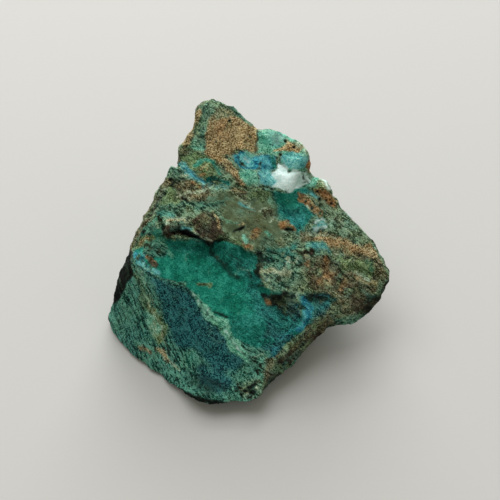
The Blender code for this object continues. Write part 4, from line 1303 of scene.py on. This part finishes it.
    def heights(self, survey: Survey, shares: dict[Mineral, np.ndarray]) -> np.ndarray:
        """Work out the fine relief.

        Args:
            survey: The skin's survey.
            shares: The share of each mineral at each point.

        Returns:
            How far each point moves outwards, in millimetres.
        """
        points = survey.points
        beds = SLAB_BEDDING.stretch(points) * (1.0 - survey.wall[:, None])
        beds += WALL_BEDDING.stretch(points) * survey.wall[:, None]
        rough = sum(share * FINISHES[mineral].rugged for mineral, share in shares.items())
        height = self.swell_mm * ripple(points, self.swell_size_mm, 21.0, 2) * (0.4 + 0.6 * rough)
        height += self.chip_mm * (chips(points, self.chip_size_mm, 22.0) - 0.5) * rough
        small = chips(0.5 * (points + beds), self.small_chip_size_mm, 23.0) - 0.5
        height += 0.7 * self.chip_mm * small * rough
        height += self.flute_mm * ripple(beds, self.flute_size_mm, 25.0) * rough
        for mineral, share in shares.items():
            used = share > 0.02
            if used.any():
                grain = ripple(points[used], self.grain_size_mm, 30.0 + len(mineral.value))
                height[used] += share[used] * FINISHES[mineral].relief_mm * grain
        for form in FORMS:
            height += form.height(survey)
        return height * soft_step(points[:, 2] - 0.15)

    def mark(self, mesh: bpy.types.Mesh, name: str, values: np.ndarray) -> None:
        """Keep one value for each point of the mesh under a name."""
        layer = mesh.attributes.new(name, "FLOAT", "POINT")
        layer.data.foreach_set("value", values.astype(np.float32))

    def build(self, node: bpy.types.Object, sight: Sight) -> bpy.types.Object:
        """Build the skin.

        Args:
            node: The solid that the skin stands for.
            sight: The camera whose frame names the places of deposits.

        Returns:
            The finished skin without its material.
        """
        stone = self.from_node(node)
        mesh = stone.data
        self.soften(mesh)
        self.set_foot(mesh)
        points = read_points(mesh, "co") / MM
        smooth = self.relax(mesh, read_points(mesh, "normal"), self.fine_turns)
        smooth /= np.linalg.norm(smooth, axis=1)[:, None]
        survey = Survey.of_skin(points, smooth, sight)
        shares = self.paint(survey)
        height = self.heights(survey, shares)
        self.write(mesh, points + smooth * height[:, None])
        level = self.relax(mesh, height[:, None], self.level_turns)[:, 0]
        self.mark(mesh, "wall", survey.wall)
        # The hollow values drive the shade painted into hollows and the highlight painted onto proud edges.
        self.mark(mesh, "hollow", np.clip((level - height) / self.hollow_mm, -1.0, 1.0))
        pile = np.zeros(len(points))
        for mineral, share in shares.items():
            pile += share
            self.mark(mesh, mineral.value, share / np.maximum(pile, 1e-6))
        ChartSheet().unwrap(mesh, self.relax(mesh, smooth, self.broad_turns))
        mesh.shade_smooth()
        return stone


@dataclass(frozen=True)
class Chart:
    """One flat view of the stone and where it lies on the sheet, in millimetres."""

    toward: Triple
    right: Triple
    corner: tuple[float, float]

    def axes(self) -> tuple[np.ndarray, np.ndarray, np.ndarray]:
        """Return the chart's own directions: toward, right and up.

        Returns:
            Three directions of length 1.
        """
        toward = np.array(self.toward) / np.linalg.norm(self.toward)
        right = np.array(self.right) / np.linalg.norm(self.right)
        return toward, right, np.cross(toward, right)


@dataclass(frozen=True)
class ChartSheet:
    """A flat sheet on which five views of the stone lie side by side."""

    side_mm: float = 154.0
    charts: tuple[Chart, ...] = (
        Chart((0.0, -0.643, 0.766), (1.0, 0.0, 0.0), (36.0, 38.0)),
        Chart((0.0, 0.0, -1.0), (-1.0, 0.0, 0.0), (112.0, 38.0)),
        Chart((0.0, 1.0, 0.0), (-1.0, 0.0, 0.0), (36.0, 78.0)),
        Chart((-1.0, 0.0, 0.0), (0.0, -1.0, 0.0), (112.0, 78.0)),
        Chart((1.0, 0.0, 0.0), (0.0, 1.0, 0.0), (36.0, 126.0)),
    )

    def unwrap(self, mesh: bpy.types.Mesh, normals: np.ndarray) -> None:
        """Give every corner of the mesh its place on the sheet.

        Args:
            mesh: The mesh to unwrap.
            normals: Smooth outward directions of the points.
        """
        corners = np.empty(len(mesh.loops), dtype=np.int64)
        mesh.loops.foreach_get("vertex_index", corners)
        totals = np.empty(len(mesh.polygons), dtype=np.int64)
        mesh.polygons.foreach_get("loop_total", totals)
        owner = np.repeat(np.arange(len(totals)), totals)
        facing = np.zeros((len(totals), 3))
        np.add.at(facing, owner, normals[corners])
        turned = np.stack([facing @ chart.axes()[0] for chart in self.charts], axis=1)
        choice = turned.argmax(axis=1)[owner]
        points = read_points(mesh, "co")[corners] / MM
        flat = np.zeros((len(corners), 2))
        for index, chart in enumerate(self.charts):
            _, right, up = chart.axes()
            own = choice == index
            flat[own, 0] = points[own] @ right + chart.corner[0]
            flat[own, 1] = points[own] @ up + chart.corner[1]
        layer = mesh.uv_layers.new(name="OFBake")
        layer.data.foreach_set("uv", (flat / self.side_mm).ravel())


class NodeSheet:
    """Adds and joins the nodes of one node tree."""

    def __init__(self, tree: bpy.types.NodeTree) -> None:
        """Keep the tree that nodes are added to."""
        self.tree = tree

    def add(self, kind: str, **settings: object) -> bpy.types.Node:
        """Add a node.

        Args:
            kind: The node's type name.
            settings: Properties to set on the node.

        Returns:
            The new node.
        """
        node = self.tree.nodes.new(kind)
        for name, value in settings.items():
            setattr(node, name, value)
        return node

    def feed(self, socket: bpy.types.NodeSocket, value: object) -> bpy.types.NodeSocket:
        """Join a socket to a source socket, or set its value.

        Args:
            socket: The socket.
            value: The source socket or the value.

        Returns:
            The fed socket.
        """
        if isinstance(value, bpy.types.NodeSocket):
            self.tree.links.new(value, socket)
        else:
            socket.default_value = value
        return socket

    def fact(self, name: str) -> bpy.types.NodeSocket:
        """Return the values that the mesh keeps under a name."""
        return self.add("ShaderNodeAttribute", attribute_name=name).outputs["Fac"]

    def maths(self, operation: str, *values: object, clamp: bool = False) -> bpy.types.NodeSocket:
        """Add a maths node.

        Args:
            operation: The node's operation.
            values: Source sockets or numbers for its inputs.
            clamp: Keep the result between 0 and 1.

        Returns:
            The node's output.
        """
        node = self.add("ShaderNodeMath", operation=operation, use_clamp=clamp)
        for socket, value in zip(node.inputs, values):
            self.feed(socket, value)
        return node.outputs[0]

    def times(self, first: object, second: object) -> bpy.types.NodeSocket:
        """Return the product of two values."""
        return self.maths("MULTIPLY", first, second)

    def less(self, first: object, second: object) -> bpy.types.NodeSocket:
        """Return the first value less the second."""
        return self.maths("SUBTRACT", first, second)

    def plus(self, value: object, factor: object, base: object, clamp: bool = False) -> bpy.types.NodeSocket:
        """Return the base plus a factor times the value."""
        return self.maths("MULTIPLY_ADD", value, factor, base, clamp=clamp)

    def ramp(self, value: object, low: object, high: object) -> bpy.types.NodeSocket:
        """Add a smooth step of a value between two limits.

        Args:
            value: The value.
            low: Where the step starts.
            high: Where the step ends.

        Returns:
            A value from 0 to 1.
        """
        node = self.add("ShaderNodeMapRange", interpolation_type="SMOOTHSTEP")
        for name, given in (("Value", value), ("From Min", low), ("From Max", high)):
            self.feed(node.inputs[name], given)
        return node.outputs["Result"]

    def blend(self, share: object, under: object, over: object, kind: str = "MIX") -> bpy.types.NodeSocket:
        """Add a colour mix.

        Args:
            share: How much of the upper colour shows.
            under: The lower colour.
            over: The upper colour.
            kind: How the two are mixed.

        Returns:
            The mixed colour.
        """
        node = self.add("ShaderNodeMix", data_type="RGBA", blend_type=kind)
        for index, value in ((0, share), (6, under), (7, over)):
            self.feed(node.inputs[index], value)
        return node.outputs[2]

    def mix(self, share: object, under: object, over: object) -> bpy.types.NodeSocket:
        """Add a mix of two values.

        Args:
            share: How much of the upper value shows.
            under: The lower value.
            over: The upper value.

        Returns:
            The mixed value.
        """
        node = self.add("ShaderNodeMix", data_type="FLOAT")
        for index, value in ((0, share), (2, under), (3, over)):
            self.feed(node.inputs[index], value)
        return node.outputs[0]

    def noise(self, place: object, size_mm: float, detail: float, warp: float) -> bpy.types.NodeSocket:
        """Add a noise texture.

        Args:
            place: Where the texture is read.
            size_mm: The size of its bumps.
            detail: How many finer patterns are added.
            warp: How much it is twisted.

        Returns:
            The noise value.
        """
        texture = self.add("ShaderNodeTexNoise")
        scale = 1.0 / (size_mm * MM)
        for name, value in (("Vector", place), ("Scale", scale), ("Detail", detail), ("Distortion", warp)):
            self.feed(texture.inputs[name], value)
        return texture.outputs[0]


def new_group(name: str, **sockets: Iterable[str]) -> tuple[bpy.types.ShaderNodeTree, NodeSheet]:
    """Start a shader node group.

    Args:
        name: The group's name.
        sockets: Socket names, under colours_in, values_in, colours_out or values_out.

    Returns:
        The group and the sheet of its nodes.
    """
    tree = bpy.data.node_groups.new(name, "ShaderNodeTree")
    for kind, names in sockets.items():
        way = "INPUT" if kind.endswith("in") else "OUTPUT"
        sort = "NodeSocketColor" if kind.startswith("colours") else "NodeSocketFloat"
        for socket in names:
            tree.interface.new_socket(socket, in_out=way, socket_type=sort)
    return tree, NodeSheet(tree)


@dataclass(frozen=True)
class RockPattern:
    """The shared patterns of the stone, from clouds to specks, as one node group."""

    name: str = "rock_pattern"
    cloud_mm: float = 5.0
    mottle_mm: float = 1.7
    grain_mm: float = 0.95
    dust_mm: float = 0.28
    speck_mm: float = 0.9
    streak_mm: float = 0.5
    thread_mm: float = 1.2
    crease_mm: float = 1.7
    pit_mm: float = 0.9
    patch_mm: float = 2.4

    def outputs(self) -> tuple[str, ...]:
        """Return the names of the group's outputs."""
        return ("Cloud", "Mottle", "Grain", "Dust", "Streak", "Thread", "Crease", "Pit", "Speck")

    def drawn_out(self, sheet: NodeSheet, place: object, bedding: Bedding) -> bpy.types.NodeSocket:
        """Squeeze the places along a bedding.

        Args:
            sheet: The group's nodes.
            place: The places.
            bedding: The bedding.

        Returns:
            The squeezed places.
        """
        mapping = sheet.add("ShaderNodeMapping", vector_type="TEXTURE")
        sheet.feed(mapping.inputs["Vector"], place)
        mapping.inputs["Rotation"].default_value = bedding.turn()
        mapping.inputs["Scale"].default_value = (1.0 / bedding.squeeze, 1.0, 1.0)
        return mapping.outputs[0]

    def build(self) -> bpy.types.ShaderNodeTree:
        """Build the node group.

        Returns:
            The group, whose outputs run from 0 to 1.
        """
        tree, sheet = new_group(self.name, values_in=("Wall",), values_out=self.outputs())
        wall = sheet.add("NodeGroupInput").outputs["Wall"]
        out = sheet.add("NodeGroupOutput").inputs
        place = sheet.add("ShaderNodeTexCoord").outputs["Object"]
        sizes = (
            ("Cloud", self.cloud_mm, 3.0, 0.4),
            ("Mottle", self.mottle_mm, 2.0, 0.6),
            ("Grain", self.grain_mm, 2.0, 0.3),
            ("Dust", self.dust_mm, 2.0, 0.0),
        )
        for name, *sizing in sizes:
            sheet.feed(out[name], sheet.ramp(sheet.noise(place, *sizing), 0.28, 0.72))
        beds = [self.drawn_out(sheet, place, bedding) for bedding in (SLAB_BEDDING, WALL_BEDDING)]
        streaks = [sheet.noise(bed, self.streak_mm, 2.0, 0.5) for bed in beds]
        sheet.feed(out["Streak"], sheet.ramp(sheet.mix(wall, *streaks), 0.3, 0.7))
        patch = sheet.ramp(sheet.noise(place, self.patch_mm, 2.0, 0.0), 0.40, 0.60)
        for name, size_mm, width in (("Thread", self.thread_mm, 0.10), ("Crease", self.crease_mm, 0.08)):
            waves = [sheet.noise(bed, size_mm, 1.0, 1.4) for bed in beds]
            wave = sheet.maths("ABSOLUTE", sheet.less(sheet.mix(wall, *waves), 0.5))
            sheet.feed(out[name], sheet.times(sheet.less(1.0, sheet.ramp(wave, 0.01, width)), patch))
            patch = sheet.less(1.0, patch)
        hole = sheet.noise(place, self.pit_mm, 1.0, 0.8)
        sheet.feed(out["Pit"], sheet.ramp(hole, 0.58, 0.68))
        cells = sheet.add("ShaderNodeTexVoronoi", feature="F1")
        sheet.feed(cells.inputs["Vector"], place)
        cells.inputs["Scale"].default_value = 1.0 / (self.speck_mm * MM)
        sheet.feed(out["Speck"], cells.outputs["Distance"])
        return tree


@dataclass(frozen=True)
class MineralLayer:
    """A node group that lays one mineral over what lies below it."""

    name: str = "mineral_layer"
    warm: tuple[float, float, float, float] = (1.28, 1.0, 0.74, 1.0)
    cool: tuple[float, float, float, float] = (0.66, 0.98, 1.16, 1.0)

    def build(self) -> bpy.types.ShaderNodeTree:
        """Build the node group.

        Returns:
            The group, which puts out colour, roughness and height.
        """
        values = ("Under Roughness", "Under Height", "Cover", "Turn", *MineralFinish.VALUES, "Bump")
        tree, sheet = new_group(
            self.name,
            colours_in=("Under Colour", *MineralFinish.COLOURS),
            values_in=values + RockPattern().outputs(),
            colours_out=("Colour",),
            values_out=("Roughness", "Height"),
        )
        given = sheet.add("NodeGroupInput").outputs
        out = sheet.add("NodeGroupOutput").inputs
        mask = self.mask(sheet, given)
        shade = self.shade(sheet, given)
        lower = sheet.blend(sheet.ramp(shade, 0.0, 0.5), given["Dark"], given["Middle"])
        colour = sheet.blend(sheet.ramp(shade, 0.5, 1.0), lower, given["Light"])
        tint = sheet.blend(sheet.mix(0.5, given["Cloud"], given["Mottle"]), self.warm, self.cool)
        colour = sheet.blend(given["Tinted"], colour, tint, "MULTIPLY")
        thread = sheet.times(given["Thread"], given["Thready"])
        colour = sheet.blend(thread, colour, given["Light"])
        pit = sheet.times(sheet.maths("MAXIMUM", given["Pit"], given["Crease"]), given["Pitted"])
        colour = sheet.blend(pit, colour, given["Fleck"])
        uneven = sheet.less(given["Grain"], 0.5)
        scatter = sheet.plus(uneven, 0.35, given["Speck"])
        fleck = sheet.less(1.0, sheet.ramp(scatter, 0.0, sheet.times(given["Fleck Share"], 3.2)))
        colour = sheet.blend(fleck, colour, given["Fleck"])
        sheet.feed(out["Colour"], sheet.blend(mask, given["Under Colour"], colour))
        worn_and_painted_shade = sheet.plus(uneven, 0.12, given["Roughness"])
        sheet.feed(out["Roughness"], sheet.mix(mask, given["Under Roughness"], worn_and_painted_shade))
        bumps = sheet.mix(0.4, given["Grain"], given["Dust"])
        bumps = sheet.mix(sheet.times(given["Streaky"], 0.6), bumps, given["Streak"])
        bumps = sheet.plus(pit, -0.8, sheet.plus(thread, 0.4, bumps))
        raised = sheet.times(bumps, given["Bump"])
        sheet.feed(out["Height"], sheet.mix(mask, given["Under Height"], raised))
        return tree

    def mask(self, sheet: NodeSheet, given: object) -> bpy.types.NodeSocket:
        """Find where the mineral shows: its edges are broken up by the grain.

        Args:
            sheet: The group's nodes.
            given: The group's inputs.

        Returns:
            A value from 0 to 1.
        """
        breakup = sheet.mix(0.45, sheet.mix(0.5, given["Mottle"], given["Grain"]), given["Dust"])
        breakup = sheet.mix(sheet.times(given["Streaky"], 0.6), breakup, given["Streak"])
        breakup = sheet.times(sheet.less(breakup, 0.5), given["Turn"])
        edge = sheet.times(sheet.times(sheet.less(1.0, given["Cover"]), given["Cover"]), 4.0)
        return sheet.ramp(sheet.plus(breakup, edge, given["Cover"]), 0.08, 0.92)

    def shade(self, sheet: NodeSheet, given: object) -> bpy.types.NodeSocket:
        """Find how light the mineral is at each place.

        Args:
            sheet: The group's nodes.
            given: The group's inputs.

        Returns:
            0 where it is darkest, 1 where it is lightest.
        """
        coarse = sheet.mix(0.5, given["Cloud"], given["Mottle"])
        fine = sheet.mix(0.78, given["Grain"], given["Dust"])
        uneven = sheet.times(sheet.less(sheet.mix(given["Fineness"], coarse, fine), 0.5), 1.7)
        streaks = sheet.times(sheet.less(given["Streak"], 0.5), 1.5)
        uneven = sheet.plus(streaks, given["Streaky"], uneven)
        return sheet.plus(uneven, given["Contrast"], 0.5, clamp=True)


@dataclass(frozen=True)
class StoneFinish:
    """The stone's material: every mineral in layers, with painted shade in the hollows and painted highlights
    on the proud edges.
    """

    name: str = "chrysocolla"
    bump_distance: float = 0.0004
    # Strengths of the shade painted into the hollows and of the highlight painted onto the proud edges.
    hollow_shade: float = 0.55
    edge_painted_highlight: float = 0.3
    edge_turn: float = 0.35
    base_roughness: float = 0.8
    specular: float = 0.08

    def layers(self, sheet: NodeSheet) -> tuple[object, object, object]:
        """Lay the minerals over each other.

        Args:
            sheet: The material's nodes.

        Returns:
            Colour, roughness and height.
        """
        pattern = sheet.add("ShaderNodeGroup", node_tree=RockPattern().build())
        sheet.feed(pattern.inputs["Wall"], sheet.fact("wall"))
        group = MineralLayer().build()
        colour: object = tone(FINISHES[Mineral.GREENSTONE].middle)
        roughness: object = self.base_roughness
        height: object = 0.0
        for index, (mineral, finish) in enumerate(FINISHES.items()):
            layer = sheet.add("ShaderNodeGroup", node_tree=group)
            settings = finish.settings() | {
                "Under Colour": colour,
                "Under Roughness": roughness,
                "Under Height": height,
                "Cover": 1.0 if mineral is Mineral.GREENSTONE else sheet.fact(mineral.value),
                "Turn": self.edge_turn if index % 2 else -self.edge_turn,
            }
            settings |= {name: pattern.outputs[name] for name in RockPattern().outputs()}
            for name, value in settings.items():
                sheet.feed(layer.inputs[name], value)
            colour, roughness, height = (layer.outputs[name] for name in ("Colour", "Roughness", "Height"))
        return colour, roughness, height

    def worn_and_painted_shade(self, sheet: NodeSheet, colour: object) -> bpy.types.NodeSocket:
        """Paint shade into the hollows and highlights onto the proud edges.

        Args:
            sheet: The material's nodes.
            colour: The colour of the minerals.

        Returns:
            The colour with its painted shade and highlights.
        """
        hollow = sheet.fact("hollow")
        shade = sheet.plus(sheet.ramp(hollow, 0.0, 0.9), -self.hollow_shade, 1.0)
        proud = sheet.ramp(sheet.times(hollow, -1.0), 0.1, 1.0)
        shade = sheet.plus(proud, self.edge_painted_highlight, shade)
        grey = sheet.add("ShaderNodeCombineColor")
        for socket in grey.inputs[:3]:
            sheet.feed(socket, shade)
        return sheet.blend(1.0, colour, grey.outputs[0], "MULTIPLY")

    def dress(self, stone: bpy.types.Object) -> bpy.types.Material:
        """Give the stone its material.

        Args:
            stone: The skin with its mineral map.

        Returns:
            The new material.
        """
        material = bpy.data.materials.new(self.name)
        material.use_nodes = True
        sheet = NodeSheet(material.node_tree)
        shader = material.node_tree.nodes["Principled BSDF"]
        colour, roughness, height = self.layers(sheet)
        bump = sheet.add("ShaderNodeBump")
        bump.inputs["Strength"].default_value = 1.0
        bump.inputs["Distance"].default_value = self.bump_distance
        sheet.feed(bump.inputs["Height"], height)
        sheet.feed(shader.inputs["Base Color"], self.worn_and_painted_shade(sheet, colour))
        sheet.feed(shader.inputs["Roughness"], roughness)
        sheet.feed(shader.inputs["Normal"], bump.outputs[0])
        shader.inputs["Specular IOR Level"].default_value = self.specular
        stone.data.materials.clear()
        stone.data.materials.append(material)
        return material


@dataclass(frozen=True)
class Floor:
    """A plain pale table top."""

    side: float = 3.0
    colour: Rgb = (189, 188, 186)
    dusty: float = 0.97
    cloud_mm: float = 1000.0 / 9.0
    roughness: float = 0.9
    specular: float = 0.1

    def dress(self, mesh: bpy.types.Mesh) -> None:
        """Give the table top its faintly cloudy paint.

        Args:
            mesh: The table top's mesh.
        """
        material = bpy.data.materials.new("pale_table")
        material.use_nodes = True
        sheet = NodeSheet(material.node_tree)
        shader = material.node_tree.nodes["Principled BSDF"]
        place = sheet.add("ShaderNodeTexCoord").outputs["Object"]
        cloud = sheet.noise(place, self.cloud_mm, 2.0, 0.0)
        base = tone(self.colour)
        dusty = (*(self.dusty * part for part in base[:3]), 1.0)
        sheet.feed(shader.inputs["Base Color"], sheet.blend(cloud, base, dusty))
        shader.inputs["Roughness"].default_value = self.roughness
        shader.inputs["Specular IOR Level"].default_value = self.specular
        mesh.materials.append(material)

    def build(self) -> bpy.types.Object:
        """Build the floor.

        Returns:
            The floor.
        """
        half = self.side / 2.0
        mesh = bpy.data.meshes.new("table_top")
        corners = ((-half, -half, 0.0), (half, -half, 0.0), (half, half, 0.0), (-half, half, 0.0))
        mesh.from_pydata(corners, [], [(0, 1, 2, 3)])
        floor = bpy.data.objects.new("table_top", mesh)
        bpy.context.scene.collection.objects.link(floor)
        self.dress(mesh)
        return floor


@dataclass(frozen=True)
class SoftLight:
    """One large soft lamp that looks at the stone; bearing 0 is behind the stone, 90 on its left."""

    name: str
    bearing: float
    elevation: float
    distance: float
    width: float
    power: float
    colour: Triple = (1.0, 1.0, 1.0)

    def direction(self) -> Vector:
        """Return the way from the stone to the lamp."""
        turn = Euler((math.radians(self.elevation), 0.0, math.radians(self.bearing)))
        return turn.to_matrix() @ Vector((0.0, 1.0, 0.0))

    def build(self) -> bpy.types.Object:
        """Create the lamp.

        Returns:
            The lamp.
        """
        data = bpy.data.lights.new(self.name, "AREA")
        data.shape = "DISK"
        data.size = self.width
        data.energy = self.power
        data.color = self.colour
        lamp = bpy.data.objects.new(self.name, data)
        lamp.location = self.direction() * self.distance
        lamp.rotation_euler = (-self.direction()).to_track_quat("-Z", "Y").to_euler()
        bpy.context.scene.collection.objects.link(lamp)
        return lamp


@dataclass(frozen=True)
class Studio:
    """The soft, pale room round the stone."""

    sky: Triple = (1.0, 0.975, 0.86)
    sky_strength: float = 0.42
    lamps: tuple[SoftLight, ...] = (
        SoftLight("window", 0.0, 25.0, 1.0, 0.9, 13.2, (0.985, 0.995, 1.0)),
        SoftLight("ceiling", 45.0, 65.0, 1.0, 0.9, 5.6, (0.99, 0.995, 1.0)),
    )

    def build(self) -> None:
        """Light the scene."""
        world = bpy.data.worlds.new("studio")
        world.use_nodes = True
        background = world.node_tree.nodes["Background"]
        background.inputs["Color"].default_value = (*self.sky, 1.0)
        background.inputs["Strength"].default_value = self.sky_strength
        bpy.context.scene.world = world
        for lamp in self.lamps:
            lamp.build()
        bpy.context.scene.view_settings.view_transform = "Standard"


def main() -> None:
    """Build the camera, the studio and the stone."""
    logging.basicConfig(level=logging.INFO, format="%(name)s: %(message)s")
    sight = Sight()
    sight.make_camera()
    Studio().build()
    Floor().build()
    log.info("studio, floor and camera are in place")
    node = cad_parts[STONE_NODE]
    stone = StoneSkin().build(node, sight)
    StoneFinish().dress(stone)
    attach(stone, BODY)
    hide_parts(STONE_NODE)
    log.info("%s: %d faces", stone.name, len(stone.data.polygons))


if __name__ == "__main__":
    main()
